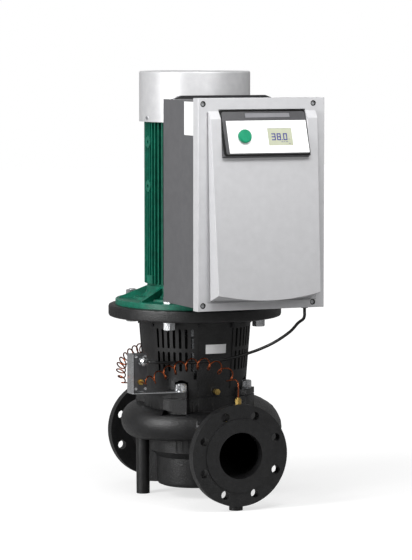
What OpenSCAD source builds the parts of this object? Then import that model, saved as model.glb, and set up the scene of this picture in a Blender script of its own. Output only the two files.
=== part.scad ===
// In-line centrifugal pump with a flanged motor, a frequency converter and a pressure sensor.
// Every piece is drawn about the shaft axis, with z = 0 on the pipe axis.
// The whole pump is then moved so that the origin is the middle of the front flange's sealing face.

/* [Pipe connections] */
// Distance between the two flange faces
face_to_face = 500; // [490:5:540]
// Height of the pipe axis above the floor
axis_height = 120; // [116:1:140]
// Outer diameter of each pipe flange
flange_d = 220; // [214:1:226]
// Thickness of each pipe flange with its raised face
flange_t = 24; // [22:1:28]
// Diameter of the raised sealing face
raised_d = 158; // [146:1:160]
// Height of the raised sealing face
raised_t = 3; // [2:0.5:4]
// Pitch circle of the flange bolts
flange_pcd = 180; // [178:1:184]
// Diameter of each flange bolt hole
flange_hole_d = 19; // [16:1:20]
// Number of bolts in each pipe flange
flange_holes = 8; // [4:4:8]
// Bore of each port
port_d = 100; // [94:1:102]

/* [Pump casing] */
// Height of the middle of the spiral above the pipe axis
spiral_z = 47.3; // [46:0.1:49]
// Distance from the shaft axis to the spiral's inner side
spiral_in_r = 85; // [84:0.5:86]
// Outer radius of the spiral's section where it starts
spiral_start_r = 31; // [30:0.5:32]
// Outer radius of the spiral's section where the discharge leaves it
spiral_end_r = 58; // [56:0.5:60]
// Wall of the casing
casing_wall = 8; // [7:0.5:9]
// Radius of the casing ring under the lantern
ring_r = 110; // [109:0.5:112]
// Height of the joint between casing and lantern above the pipe axis
joint_z = 110; // [109:0.5:111]
// Radius of the suction sump
sump_r = 84; // [82:0.5:86]
// Depth of the suction sump below the pipe axis
sump_depth = 94.5; // [92:0.5:98]
// Diameter of each leg at the floor
leg_d = 29.5; // [28:0.5:32]
// Tapped hole in each leg
leg_hole_d = 10.2; // [8.5:0.1:12]

/* [Lantern] */
// Height of the lantern from its joint to the motor flange
lantern_h = 196; // [194:0.5:199]
// Outer radius of the lantern cone at the joint
cone_low_r = 109.5; // [109:0.5:110]
// Outer radius of the lantern cone under the top flange
cone_high_r = 122.5; // [121:0.5:124]
// Wall of the lantern cone
cone_wall = 9; // [8:0.5:10]
// Radius of the lantern's top flange
top_flange_r = 190.5; // [188:0.5:194]
// Thickness of the lantern's top flange
top_flange_t = 26.3; // [25:0.1:28]
// Width of each lantern window as an angle
window_angle = 48; // [46:1:50]
// Number of slots side by side in each guard
slots_across = 7; // [5:1:7]
// Width of each guard slot
slot_w = 6; // [4:0.5:6.5]
// Sheet thickness of the guards
guard_t = 1.5; // [1:0.1:2]
// Diameter of the screws that hold the lantern on the casing
casing_bolt_d = 16; // [14:1:16]
// Diameter of the bolts that hold the motor on the lantern
motor_bolt_d = 16; // [14:1:16]

/* [Motor] */
// Radius of the motor flange
motor_flange_r = 175; // [173:0.5:178]
// Thickness of the motor flange
motor_flange_t = 12.5; // [12:0.5:14]
// Pitch circle of the motor flange bolts
motor_pcd = 300; // [298:1:302]
// Radius over the cooling fins
fin_r = 110.8; // [109:0.2:112]
// Number of cooling fins
fin_count = 60; // [48:2:64]
// Thickness of each cooling fin
fin_t = 3; // [2:0.5:3.5]
// Length of the finned stator housing
housing_h = 358.5; // [354:0.5:362]
// Radius of the fan cowl
cowl_r = 121.5; // [121:0.5:124]
// Height of the fan cowl
cowl_h = 109.6; // [106:0.1:114]
// Radius of the motor shaft's drive end
drive_r = 19; // [17:0.5:19]

/* [Converter] */
// Width of the converter's cover
cover_w = 288.6; // [286:0.2:292]
// Height of the converter's cover
cover_h = 441; // [439:1:444]
// Depth of the cover's rim
cover_d = 27; // [25:0.5:30]
// Width of the converter's body
body_w = 280; // [278:1:282]
// Depth of the converter's body
body_d = 167.5; // [164:0.5:170]
// Wall of the converter's body
body_wall = 4; // [3:0.5:5]
// How far the cover's bulge stands out at its lower end
bulge_low = 45; // [42:0.5:48]
// How far the cover's bulge stands out at its upper end
bulge_high = 13; // [12:0.5:14]
// Lean of the control panel from upright, in degrees
panel_lean = 18.6; // [18:0.1:19]
// Width of the control panel
panel_w = 197; // [195:1:199]
// Radius of the turning knob
knob_r = 14; // [12:0.5:15]
// How far the knob can be pushed
knob_travel = 1.5; // [1:0.1:1.7]

/* [Sensor line] */
// Diameter of the sensor cable
cable_d = 6.5; // [5:0.5:7]
// Diameter of the copper capillary tubes
capillary_d = 3; // [2.5:0.1:3.2]

/* [Hidden] */
$fn = 64;
smooth = 128;
gap = 0.3;

// Heights along the shaft, above the pipe axis
top_face_z = joint_z + lantern_h;
lug_top_z = joint_z + 13;
cover_low_z = joint_z - 14;
window_low_z = joint_z + 17;
window_high_z = top_face_z - 33;
motor_face_z = top_face_z + motor_flange_t;
housing_z = motor_face_z + 30;
housing_top_z = housing_z + housing_h;
cowl_top_z = housing_top_z + cowl_h - 0.2;
bearing_h = 23;
upper_bearing_h = 19;
lower_bearing_z = housing_z - bearing_h;
upper_bearing_z = housing_top_z - upper_bearing_h;
core_z = housing_z + 72;
core_h = 200;
coupling_low_z = joint_z + 118;
coupling_high_z = top_face_z - 6;
drive_z = coupling_low_z + 12;

// Radii along the shaft
shaft_r = 16;
hub_r = 14;
thread_r = 8;
tower_r = 42;
seal_pocket_r = 27;
coupling_r = 30;
core_r = 24;
bearing_in_r = 20;
upper_bearing_in_r = 15;
bearing_out_r = 45;
upper_bearing_out_r = 36;
bore_r = 90;
rotor_r = 58;
impeller_r = 82;
eye_r = 46;
neck_ring_r = 48;
wear_seat_r = 54;
wear_z = 24;
wear_h = 12;
chamber_r = 92;
chamber_z = 31;
spigot_r = 97;
motor_spigot_r = 125;
motor_spigot_t = 4.5;

// Screws and lugs
bolt_turn = -37.9;
bolt_ring_r = 116.4;
lug_reach = 131;
lug_out = 38;
lug_in = 16;
lug_h = 37;
lug_rise = 12;
joint_groove = 1.2;
head_r = casing_bolt_d * 0.75;
motor_head_h = 16;
motor_washer_t = 3;
motor_nut_h = 13;
motor_head_r = 13.9;

// Spiral, discharge and suction
neck_r = port_d / 2 + 11;
// The rear flange's bolt holes are this much wider, to take up a pipe that doesn't quite line up
rear_hole_play = 0.4;
spiral_from = 22;
spiral_to = 262;
spiral_step = 8;
spiral_sides = 24;
tongue_from = -50;
discharge_steps = 12;
discharge_reach = 96;
suction_steps = 9;
suction_drop = 46;
suction_squash = 17;
collar_r = 101.5;

// Legs: the front one stands under the front flange's neck, the others under the spiral
front_leg_y = -(face_to_face / 2 - flange_t - 2);
rear_leg = [97, 66];

// Converter heights and depths
cover_z = top_face_z + 17.3;
cover_y = -355;
body_front_y = cover_y + cover_d + 2;
body_back_y = body_front_y + body_d;
body_z = cover_z + 4.7;
body_h = cover_h - 10;
sink_back_y = body_back_y + 0.3;
sink_plate_t = 8;
sink_fin_y = -118;
pad_y = -113;
cover_screw_x = [-body_w / 2 + 7, body_w / 2 - 22];
cover_screw_z = [cover_z + 11.7, cover_z + cover_h - 11.9];
bulge_w = 244;
bulge_z0 = cover_z + 20;
bulge_z1 = cover_z + cover_h - 27;
bulge_slope_h = 15;
panel_top = [0, cover_y + 2, cover_z + cover_h - 24.2];
panel_h = 100.2;
panel_t = 14;
plate_x = [-panel_w / 2 + 14, panel_w / 2 - 1.5];
plate_v = [24, 94];
display_x = [6.6, 61.5];
display_v = [41, 78];
knob_x = -48;
knob_v = 58.7;
knob_gap = 2;
knob_h = 7;
stem_r = 3;
run_gap = 0.05;

// Sensor block beside the lantern
sensor_lo = [-181, -88, lug_top_z + 6];
sensor_hi = [-150, -62, lug_top_z + 86];
strip_t = 1.5;
gland_end = [-162, -110, 195];
gland_way = [0.1, -0.994, 0.04];
gland_len = 22;
fitting_at = [-166, -88, 149];
rear_fitting_at = [-166, -62, 149];
fitting_len = 10;
port_y = face_to_face / 2 - raised_t - (flange_t - raised_t) / 2;
port_fitting_h = 14;

// Route of the sensor cable, from its gland beside the lantern up to the converter
cable_route = [gland_end + 0.2 * gland_way, gland_end + 5 * gland_way, gland_end + 10 * gland_way,
               [-158, -127, 195.5], [-147, -131, 194.5], [-128, -128, 193], [-104, -124, 191.3],
               [-76, -125, 190.4], [-45, -132, 191], [-13, -141, 193], [19, -150, 198], [48, -163, 207],
               [75, -182, 219], [100, -206, top_face_z - 70], [120, -238, top_face_z - 46],
               [127, -264, top_face_z - 25], [130, -283, top_face_z - 15], [130, -290, body_z - 29],
               [130, -290, body_z - 21], [130, -290, body_z - 12.2]];
cable_end = cable_route[len(cable_route) - 1];
// Middle line of each capillary's coils
coil_front = [[-164, -113, 154], [-145.5, -118, 157.5], [-126, -126, 168.5], [-106, -135, 179],
              [-83.5, -145, 187], [-60.5, -157, 191], [-38, -170, 189], [-17.5, -184, 180], [-3.5, -200, 165]];
coil_rear = [[-190, -44, 147], [-188, -34, 161], [-184, -22, 175], [-172, -6, 186], [-151, 18, 194],
             [-122, 58, 198], [-82, 122, 196], [-55, 165, 188], [-34, 194, 176]];
coil_lean = 0.5;
coil_points = 10;

function unit(v) = v / norm(v);
function ease(s) = s * s * (3 - 2 * s);
function cone_r(z) = cone_low_r + (cone_high_r - cone_low_r) * (z - joint_z) / (lantern_h - top_flange_t);

// Rings of the spiral: a is the turn from the front, clockwise as seen from above
function spiral_share(a) = (a - spiral_from) / (spiral_to - spiral_from);
function spiral_r(a) = spiral_start_r + (spiral_end_r - spiral_start_r) * pow(spiral_share(a), 1.25);
function spiral_lift(a) = spiral_z - 12 * pow(max(0, spiral_share(a) - 0.55) / 0.45, 2);
function turned_ring(a, c, z, r) =
    [for (k = [0:spiral_sides - 1])
        let (t = 360 * k / spiral_sides, q = c + r * cos(t))
        [-q * sin(a), -q * cos(a), z + r * sin(t)]];
function spiral_ring(a, thin) =
    turned_ring(a, spiral_in_r + spiral_r(a), spiral_lift(a), spiral_r(a) - thin);
function tongue_ring(a, r) = turned_ring(a, spiral_in_r + spiral_start_r, spiral_z, r);

// Rings of the bend that leads from the spiral to the front flange
function bend_point(s) =
    let (a = spiral_to, c = spiral_in_r + spiral_r(a),
         p0 = [-c * sin(a), -c * cos(a), spiral_lift(a)],
         p1 = p0 + discharge_reach * [-cos(a), sin(a), -0.16],
         p3 = [0, -face_to_face / 2 + flange_t - 2, 0],
         p2 = p3 + [0, discharge_reach, 0])
    pow(1 - s, 3) * p0 + 3 * pow(1 - s, 2) * s * p1 + 3 * (1 - s) * s * s * p2 + pow(s, 3) * p3;
function bend_ring(s, thin) =
    let (d = unit(bend_point(s + 0.01) - bend_point(s - 0.01)),
         side = unit(cross([0, 0, 1], d)), up = cross(d, side),
         r = spiral_r(spiral_to) + (neck_r - spiral_r(spiral_to)) * s - thin)
    [for (k = [0:spiral_sides - 1])
        let (t = 360 * k / spiral_sides)
        bend_point(s) + r * (sin(t) * up + cos(t) * side)];

// Rings of the suction branch, which dips under the spiral
function suction_ring(s, thin) =
    let (dip = ease(min(1, 2.6 * s)),
         y = (face_to_face / 2 - flange_t + 2) * (1 - s) + 30 * s,
         wide = neck_r + 8 * dip - thin, high = neck_r - suction_squash * dip - thin)
    [for (k = [0:spiral_sides - 1])
        let (t = 360 * k / spiral_sides)
        [wide * cos(t), y, high * sin(t) - suction_drop * dip]];

// Points of a smooth curve through a route, and of the coils wound about one
function curve_at(p, u) =
    let (n = len(p) - 1, i = min(floor(u), n - 1), f = u - i,
         a = p[max(i - 1, 0)], b = p[i], c = p[i + 1], d = p[min(i + 2, n)])
    0.5 * (2 * b + (c - a) * f + (2 * a - 5 * b + 4 * c - d) * f * f + (3 * b - a - 3 * c + d) * f * f * f);
function curve(p, steps) = [for (i = [0:steps]) curve_at(p, (len(p) - 1) * i / steps)];
function coil(p, r, turns) =
    [for (i = [0:turns * coil_points])
        let (u = (len(p) - 1) * i / (turns * coil_points),
             d = unit(curve_at(p, min(u + 0.05, len(p) - 1)) - curve_at(p, max(u - 0.05, 0))),
             across = unit(cross([0, 0, 1], d)), up = cross(d, across), side = unit(across + coil_lean * d),
             t = 360 * i / coil_points, grow = min(1, 0.6 + 2 * i / (turns * coil_points)))
        curve_at(p, u) - r * grow * (cos(t) * up + sin(t) * side)];
function way(p, i) = unit(p[min(i + 1, len(p) - 1)] - p[max(i - 1, 0)]);
function side_ways(p, i, last) =
    i >= len(p) ? [] :
    let (t = way(p, i), n = unit(last - (last * t) * t))
    concat([n], side_ways(p, i + 1, n));

// A closed skin over a row of rings with equal numbers of points
module skin(rings) {
    n = len(rings);
    s = len(rings[0]);
    polyhedron(
        points = [for (ring = rings) each ring],
        faces = concat(
            [[for (k = [0:s - 1]) k]],
            [[for (k = [s - 1:-1:0]) (n - 1) * s + k]],
            [for (i = [0:n - 2], k = [0:s - 1])
                let (a = i * s + k, b = i * s + (k + 1) % s, c = b + s, d = a + s)
                each [[a, d, c], [a, c, b]]]));
}

module tube(p, d, sides) {
    turned = side_ways(p, 0, [0.3, 0.2, 1]);
    skin([for (i = [0:len(p) - 1])
        let (t = way(p, i), n = turned[i], b = cross(t, n))
        [for (k = [0:sides - 1]) p[i] + d / 2 * (cos(360 * k / sides) * n + sin(360 * k / sides) * b)]]);
}

module at_pump() {
    translate([0, face_to_face / 2, 0]) children();
}

// Children drawn on the -y side are turned to the four places of a square pattern
module four(first) {
    for (k = [0:3]) rotate([0, 0, first + 90 * k]) children();
}

// Turns a solid drawn along +z so that it points outwards along -y
module outward() {
    rotate([90, 0, 0]) children();
}

module ring(outer, inner, h, fn = smooth) {
    difference() {
        cylinder(r = outer, h = h, $fn = fn);
        translate([0, 0, -1]) cylinder(r = inner, h = h + 2, $fn = fn);
    }
}

// Pump casing

module spiral_body(thin) {
    skin(concat(
        [for (a = [spiral_from:spiral_step:spiral_to]) spiral_ring(a, thin)],
        [for (i = [1:discharge_steps]) bend_ring(i / discharge_steps, thin)]));
    skin(concat(
        [for (a = [tongue_from:14:20]) tongue_ring(a, spiral_start_r + 1.5 - thin)],
        [tongue_ring(40, spiral_start_r - 7 - thin)]));
    skin([for (i = [0:suction_steps]) suction_ring(i / suction_steps, thin)]);
}

module pipe_flange() {
    translate([0, -face_to_face / 2, 0]) rotate([-90, 0, 0]) {
        cylinder(d = raised_d, h = raised_t + 1, $fn = smooth);
        translate([0, 0, raised_t]) cylinder(d = flange_d, h = flange_t - raised_t, $fn = smooth);
    }
}

module pipe_flange_holes(hole_d) {
    translate([0, -face_to_face / 2, 0]) rotate([-90, 0, 0]) {
        translate([0, 0, -1]) cylinder(d = port_d, h = flange_t + 3, $fn = smooth);
        for (i = [0:flange_holes - 1])
            rotate([0, 0, 360 * (i + 0.5) / flange_holes])
                translate([flange_pcd / 2, 0, 0]) cylinder(d = hole_d, h = 3 * flange_t, center = true);
    }
}

module sump_form(inset) {
    low = -sump_depth + inset;
    r = sump_r - inset;
    rotate_extrude($fn = smooth)
        polygon([[0, low], [r - 10, low], [r - 3, low + 3], [r, low + 11], [r, -30],
                 [inset > 0 ? eye_r : collar_r, inset > 0 ? 0 : -15],
                 [inset > 0 ? eye_r : collar_r, wear_z + (inset > 0 ? 1 : 0)], [0, wear_z + (inset > 0 ? 1 : 0)]]);
}

module legs() {
    translate([0, front_leg_y, -axis_height]) cylinder(d1 = leg_d, d2 = leg_d + 2, h = axis_height - 45);
    for (x = [-1, 1]) {
        translate([x * rear_leg[0], rear_leg[1], -axis_height]) cylinder(d1 = leg_d, d2 = leg_d + 2, h = axis_height + 20);
        rotate([0, 0, x > 0 ? atan2(rear_leg[1], rear_leg[0]) : 180 - atan2(rear_leg[1], rear_leg[0])])
            translate([60, -5, -sump_depth + 2]) cube([norm(rear_leg) - 60, 10, sump_depth + 18]);
    }
}

module leg_holes() {
    for (p = [[0, front_leg_y], [rear_leg[0], rear_leg[1]], [-rear_leg[0], rear_leg[1]]])
        translate([p[0], p[1], -axis_height - 1]) cylinder(d = leg_hole_d, h = 26);
}

module joint_outline() {
    circle(r = ring_r, $fn = smooth);
    intersection() {
        four(bolt_turn) translate([-lug_out, -lug_reach]) square([lug_out + lug_in, 50]);
        circle(r = lug_reach + 1.5, $fn = smooth);
    }
}

plug_turn = -19;
plug_z = 42;
plug_r = 153;

module pump_casing() {
    color("#2b2b2c") at_pump() difference() {
        union() {
            spiral_body(0);
            translate([0, 0, 40]) cylinder(r = ring_r, h = joint_z - lug_h - 40, $fn = smooth);
            translate([0, 0, joint_z - lug_h]) linear_extrude(height = lug_h) joint_outline();
            sump_form(0);
            pipe_flange();
            rotate([0, 0, 180]) pipe_flange();
            legs();
            rotate([0, 0, plug_turn]) translate([0, -plug_r + 30, plug_z]) outward() cylinder(r = 10, h = 30);
        }
        spiral_body(casing_wall);
        sump_form(casing_wall);
        translate([0, 0, wear_z]) cylinder(r = wear_seat_r, h = 20, $fn = smooth);
        translate([0, 0, chamber_z]) cylinder(r = chamber_r, h = joint_z, $fn = smooth);
        translate([0, 0, cover_low_z]) cylinder(r = spigot_r + run_gap, h = joint_z, $fn = smooth);
        pipe_flange_holes(flange_hole_d);
        rotate([0, 0, 180]) pipe_flange_holes(flange_hole_d + rear_hole_play);
        leg_holes();
        four(bolt_turn) translate([0, -bolt_ring_r, joint_z - 27]) cylinder(d = casing_bolt_d, h = 40);
        translate([0, 0, joint_z - joint_groove]) ring(lug_reach + 10, ring_r - joint_groove, 10);
        difference() {
            four(bolt_turn) translate([0, -80, joint_z - lug_h]) outward() linear_extrude(height = 60)
                polygon([[-lug_out - 1, -1], [lug_in + 1, -1], [lug_in + 1, 1], [-lug_out - 1, lug_rise]]);
            cylinder(r = ring_r, h = joint_z, $fn = smooth);
        }
        rotate([0, 0, plug_turn]) translate([0, -plug_r + 29, plug_z]) outward() cylinder(r = 6.5, h = 40);
        for (y = [-port_y, port_y]) translate([0, y, flange_d / 2 - 9]) cylinder(r = 3, h = 20);
    }
}

module casing_o_ring() {
    color("#111111") at_pump() translate([0, 0, joint_z - 6]) rotate_extrude($fn = smooth)
        translate([spigot_r - 1.45, 0]) circle(r = 1.4, $fn = 32);
}

module wear_ring() {
    color("#b89b5a") at_pump() translate([0, 0, wear_z]) ring(wear_seat_r, neck_ring_r + 0.4, wear_h);
}

module drain_plug() {
    color("#c9b37a") at_pump() rotate([0, 0, plug_turn]) translate([0, -plug_r, plug_z]) outward() {
        translate([0, 0, -12]) cylinder(r = 6.5 - run_gap, h = 13);
        translate([0, 0, 0.1]) cylinder(r = 9, h = 2);
        translate([0, 0, 2]) cylinder(r = 7.5, h = 6, $fn = 6);
    }
}

// Lantern

module lantern_form() {
    disc_z = top_face_z - top_flange_t;
    rotate_extrude($fn = smooth)
        polygon([[0, cover_low_z], [spigot_r, cover_low_z], [spigot_r, joint_z - 8], [spigot_r - 2.9, joint_z - 8],
                 [spigot_r - 2.9, joint_z - 4], [spigot_r, joint_z - 4], [spigot_r, joint_z],
                 [cone_low_r, joint_z], [cone_high_r, disc_z], [top_flange_r - 5, disc_z],
                 [top_flange_r - 1.5, disc_z + 1.5], [top_flange_r, disc_z + 5], [top_flange_r, top_face_z - 5],
                 [top_flange_r - 1.5, top_face_z - 1.5], [top_flange_r - 5, top_face_z], [0, top_face_z]]);
}

module lantern_inside() {
    rotate_extrude($fn = smooth)
        polygon([[0, joint_z + 40], [tower_r, joint_z + 40], [tower_r, joint_z + 16],
                 [cone_r(joint_z + 16) - cone_wall, joint_z + 16],
                 [cone_r(top_face_z - 34) - cone_wall, top_face_z - 34],
                 [motor_spigot_r - 20, top_face_z - 20], [motor_spigot_r - 20, top_face_z + 1], [0, top_face_z + 1]]);
}

module lantern_window() {
    rotate([0, 0, -90 - window_angle / 2]) rotate_extrude(angle = window_angle, $fn = smooth)
        polygon([[60, window_low_z], [cone_high_r + 20, window_low_z],
                 [cone_high_r + 20, window_high_z], [60, window_high_z]]);
}

module lantern_lug() {
    intersection() {
        translate([-lug_out, -lug_reach, joint_z]) cube([lug_out + lug_in, 50, lug_top_z - joint_z]);
        cylinder(r = lug_reach + 1.5, h = lug_top_z, $fn = smooth);
    }
}

tab_turn = window_angle / 2 + 2.2;
tab_z = window_high_z - 7;

module lantern() {
    color("#2a2a2b") at_pump() difference() {
        union() {
            lantern_form();
            four(bolt_turn) lantern_lug();
            translate([0, -cone_r(lug_top_z) + 2, lug_top_z]) outward() cylinder(r = 9, h = 4);
        }
        difference() {
            lantern_inside();
            four(bolt_turn) translate([0, -bolt_ring_r, 0]) cylinder(r = 10, h = joint_z);
        }
        translate([0, 0, top_face_z - motor_spigot_t - gap]) cylinder(r = motor_spigot_r + run_gap, h = 20, $fn = smooth);
        translate([0, 0, cover_low_z - 1]) cylinder(r = shaft_r + 3, h = 60);
        translate([0, 0, cover_low_z - 1]) cylinder(r = seal_pocket_r, h = 17);
        four(45) lantern_window();
        four(bolt_turn) translate([0, -bolt_ring_r, joint_z - 1]) cylinder(d = casing_bolt_d + 1.5, h = 20);
        four(bolt_turn) translate([0, -bolt_ring_r, lug_top_z]) cylinder(r = head_r + 1, h = 8);
        four(45) translate([0, -motor_pcd / 2, top_face_z - 40]) cylinder(d = motor_bolt_d + 1.5, h = 50);
        for (side = [-1, 1]) four(45 + side * tab_turn)
            translate([0, -cone_r(tab_z) + 6, tab_z]) outward() cylinder(r = 2, h = 10, $fn = 32);
        translate([0, -cone_r(lug_top_z) + 12, lug_top_z]) outward() cylinder(r = 4, h = 20);
    }
}

module slot(x, z, h) {
    translate([x, 0, z]) outward() linear_extrude(height = cone_high_r + 20) {
        translate([-slot_w / 2, slot_w / 2]) square([slot_w, h - slot_w]);
        translate([0, slot_w / 2]) circle(d = slot_w, $fn = 32);
        translate([0, h - slot_w / 2]) circle(d = slot_w, $fn = 32);
    }
}

module guard_band(angle, low, high) {
    rotate([0, 0, -90 - angle / 2]) rotate_extrude(angle = angle, $fn = smooth)
        polygon([[cone_r(low) + gap, low], [cone_r(low) + gap + guard_t, low],
                 [cone_r(high) + gap + guard_t, high], [cone_r(high) + gap, high]]);
}

slot_low_z = joint_z + 56.8;
slot_high_z = joint_z + 107;
slot_h = 42.8;

module guard() {
    pitch = (window_angle - 9) / 6;
    difference() {
        union() {
            guard_band(window_angle + 1.6, window_low_z, window_high_z + 1);
            guard_band(2 * tab_turn + 3.4, tab_z - 5, tab_z + 5);
        }
        for (i = [0:slots_across - 1]) rotate([0, 0, (i - (slots_across - 1) / 2) * pitch]) {
            slot(0, slot_low_z, slot_h);
            slot(0, slot_high_z, slot_h);
        }
        rotate([0, 0, bolt_turn + 45]) outward() linear_extrude(height = cone_high_r + 20) {
            translate([-head_r - 3, window_low_z - 2]) square([2 * head_r + 6, 19]);
            translate([0, window_low_z + 6]) circle(r = head_r + 3);
        }
        rotate([0, 0, window_angle / 2 - 3.2]) translate([-0.5, -cone_high_r - 20, joint_z + 40])
            cube([20, 60, 18]);
        for (side = [-1, 1]) rotate([0, 0, side * tab_turn])
            translate([0, -cone_r(tab_z) + 6, tab_z]) outward() cylinder(r = 2.2, h = 10, $fn = 32);
    }
}

module guard_at(turn) {
    color("#3a3a3b") at_pump() rotate([0, 0, turn]) guard();
}

module guard_front_left() {
    guard_at(-45);
}

module guard_front_right() {
    guard_at(45);
}

module guard_rear_right() {
    guard_at(135);
}

module guard_rear_left() {
    guard_at(225);
}

module guard_screws() {
    color("#1e1e1f") at_pump() for (side = [-1, 1]) four(45 + side * tab_turn)
        translate([0, -cone_r(tab_z) - gap - guard_t - 0.2, tab_z]) outward() {
            cylinder(r = 3.6, h = 2.2, $fn = 32);
            translate([0, 0, -6]) cylinder(r = 1.9, h = 7, $fn = 32);
        }
}

module casing_bolts() {
    color("#d6d6d6") at_pump() for (k = [0:3]) {
        lift = k == 0 ? strip_t : 0;
        rotate([0, 0, bolt_turn + 90 * k]) translate([0, -bolt_ring_r, lug_top_z + lift]) difference() {
            union() {
                cylinder(r = head_r - 0.8, h = casing_bolt_d);
                cylinder(r = head_r, h = casing_bolt_d - 1.2);
                translate([0, 0, -38]) cylinder(r = casing_bolt_d / 2 - run_gap, h = 39);
            }
            translate([0, 0, casing_bolt_d - 8]) cylinder(r = 8, h = 10, $fn = 6);
        }
    }
}

module motor_bolts() {
    under = top_face_z - top_flange_t;
    color("#d8d8d8") at_pump() four(45) translate([0, -motor_pcd / 2, 0]) {
        translate([0, 0, under - motor_washer_t]) cylinder(r = 15, h = motor_washer_t);
        translate([0, 0, under - motor_washer_t - motor_head_h])
            cylinder(r = motor_head_r, h = motor_head_h, $fn = 6);
        translate([0, 0, under - 5]) cylinder(d = motor_bolt_d, h = top_flange_t + motor_flange_t + motor_nut_h + 7);
    }
}

module motor_nuts() {
    color("#b9b9b9") at_pump() four(45) translate([0, -motor_pcd / 2, motor_face_z]) difference() {
        cylinder(r = motor_head_r, h = motor_nut_h, $fn = 6);
        translate([0, 0, -1]) cylinder(r = motor_bolt_d / 2 + run_gap, h = motor_nut_h + 2);
    }
}

module lantern_plate() {
    color("white") at_pump() rotate([0, 0, -90 - 11.6]) rotate_extrude(angle = 23.2, $fn = smooth)
        polygon([[cone_r(joint_z + 96) + 0.1, joint_z + 96], [cone_r(joint_z + 96) + 0.8, joint_z + 96],
                 [cone_r(joint_z + 116) + 0.8, joint_z + 116], [cone_r(joint_z + 116) + 0.1, joint_z + 116]]);
}

module vent_screw() {
    color("#c9a75a") at_pump() translate([0, -cone_r(lug_top_z) - 2.3, lug_top_z]) outward() {
        cylinder(r = 5.5, h = 5);
        translate([0, 0, 5]) cylinder(r = 7, h = 8, $fn = 6);
        translate([0, 0, -9]) cylinder(r = 4 - run_gap, h = 10);
    }
}

// Motor

module lower_end_shield() {
    low = top_face_z - motor_spigot_t;
    color("#157f68") at_pump() difference() {
        union() {
            rotate_extrude($fn = smooth)
                polygon([[34, low], [motor_spigot_r, low], [motor_spigot_r, top_face_z], [motor_flange_r, top_face_z],
                         [motor_flange_r, motor_face_z - 1.5], [motor_flange_r - 1.5, motor_face_z],
                         [134, motor_face_z], [132, motor_face_z + 4], [114, motor_face_z + 6],
                         [106, motor_face_z + 16], [105, housing_z], [34, housing_z]]);
            for (k = [0:7]) rotate([0, 0, 45 * k + 22.5]) translate([0, 4, 0]) rotate([90, 0, 0])
                linear_extrude(height = 8)
                    polygon([[100, motor_face_z - 1], [167, motor_face_z - 1], [167, motor_face_z + 2],
                             [104.5, housing_z - 2], [100, housing_z - 2]]);
        }
        translate([0, 0, lower_bearing_z]) cylinder(r = bearing_out_r, h = 40, $fn = smooth);
        four(45) translate([0, -motor_pcd / 2, top_face_z - 5]) cylinder(d = motor_bolt_d + 1.5, h = 40);
    }
}

module fin_outline() {
    difference() {
        union() {
            circle(r = fin_r - 12, $fn = smooth);
            for (i = [0:fin_count - 1]) rotate(360 * (i + 0.5) / fin_count)
                translate([bore_r + 2, -fin_t / 2]) square([fin_r - bore_r - 2, fin_t]);
        }
        circle(r = bore_r, $fn = smooth);
    }
}

boss_turn = 90;
boss_z = [housing_z + 218, housing_z + 314];

module stator_housing() {
    color("#0e6b55") at_pump() difference() {
        union() {
            translate([0, 0, housing_z + 4.5]) linear_extrude(height = housing_h - 5) fin_outline();
            translate([0, 0, housing_z]) ring(fin_r - 10, bore_r, 26);
            translate([0, 0, housing_top_z - 14]) ring(fin_r - 8, bore_r, 14);
            for (turn = [-boss_turn, boss_turn], z = boss_z) rotate([0, 0, turn]) translate([0, -bore_r - 4, z])
                outward() cylinder(r = 13, h = fin_r - bore_r - 3.4);
            for (turn = [-86, 94]) rotate([0, 0, turn]) translate([-14, -fin_r - 0.2, housing_z + 4.5])
                cube([28, 14, 19]);
            translate([-66, pad_y, housing_z + 96]) cube([132, 25, 240]);
        }
        for (turn = [-boss_turn, boss_turn], z = boss_z) rotate([0, 0, turn]) translate([0, -bore_r - 8, z])
            outward() cylinder(r = 4.2, h = 30);
        translate([0, 0, housing_z - 1]) cylinder(r = bore_r, h = housing_h + 2, $fn = smooth);
    }
}

module upper_end_shield() {
    color("#12755f") at_pump() difference() {
        union() {
            translate([0, 0, housing_top_z]) cylinder(r = fin_r - 5, h = 6, $fn = smooth);
            translate([0, 0, upper_bearing_z - 2]) cylinder(r = upper_bearing_out_r + 8, h = upper_bearing_h + 3);
            four(-80.6) translate([-8, -cowl_r + 1.5 + gap, housing_top_z]) cube([16, 24, 17]);
        }
        translate([0, 0, upper_bearing_z - 3]) cylinder(r = upper_bearing_out_r, h = upper_bearing_h + 3, $fn = smooth);
        translate([0, 0, housing_top_z - 1]) cylinder(r = 18, h = 20);
        four(-80.6) translate([0, -cowl_r + 12, housing_top_z + 8.6]) outward() cylinder(r = 2.1, h = 20, $fn = 32);
    }
}

module slot_ring() {
    for (k = [0:23]) rotate(15 * k) {
        translate([rotor_r - 1, -1.3]) square([8, 2.6]);
        translate([rotor_r + 6, -2.6]) square([16, 5.2]);
    }
}

module stator_core() {
    color("#8a8d90") at_pump() translate([0, 0, core_z]) linear_extrude(height = core_h) difference() {
        circle(r = bore_r - 0.1, $fn = smooth);
        circle(r = rotor_r + 0.5, $fn = smooth);
        slot_ring();
    }
}

module stator_winding() {
    color("#b5673a") at_pump() {
        for (z = [core_z - 26, core_z + core_h + 2]) translate([0, 0, z]) rotate_extrude($fn = smooth)
            polygon([[66, 0], [78, 0], [81, 3], [81, 21], [78, 24], [66, 24], [63, 21], [63, 3]]);
        for (k = [0:23]) rotate([0, 0, 15 * k]) translate([rotor_r + 6.4, -2.2, core_z - 6])
            cube([15, 4.4, core_h + 12]);
    }
}

module bearing_outer_rings() {
    color("#b8bcc0") at_pump() {
        translate([0, 0, lower_bearing_z]) ring(bearing_out_r, bearing_out_r - 7, bearing_h);
        translate([0, 0, upper_bearing_z]) ring(upper_bearing_out_r, upper_bearing_out_r - 5.5, upper_bearing_h);
    }
}

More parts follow.
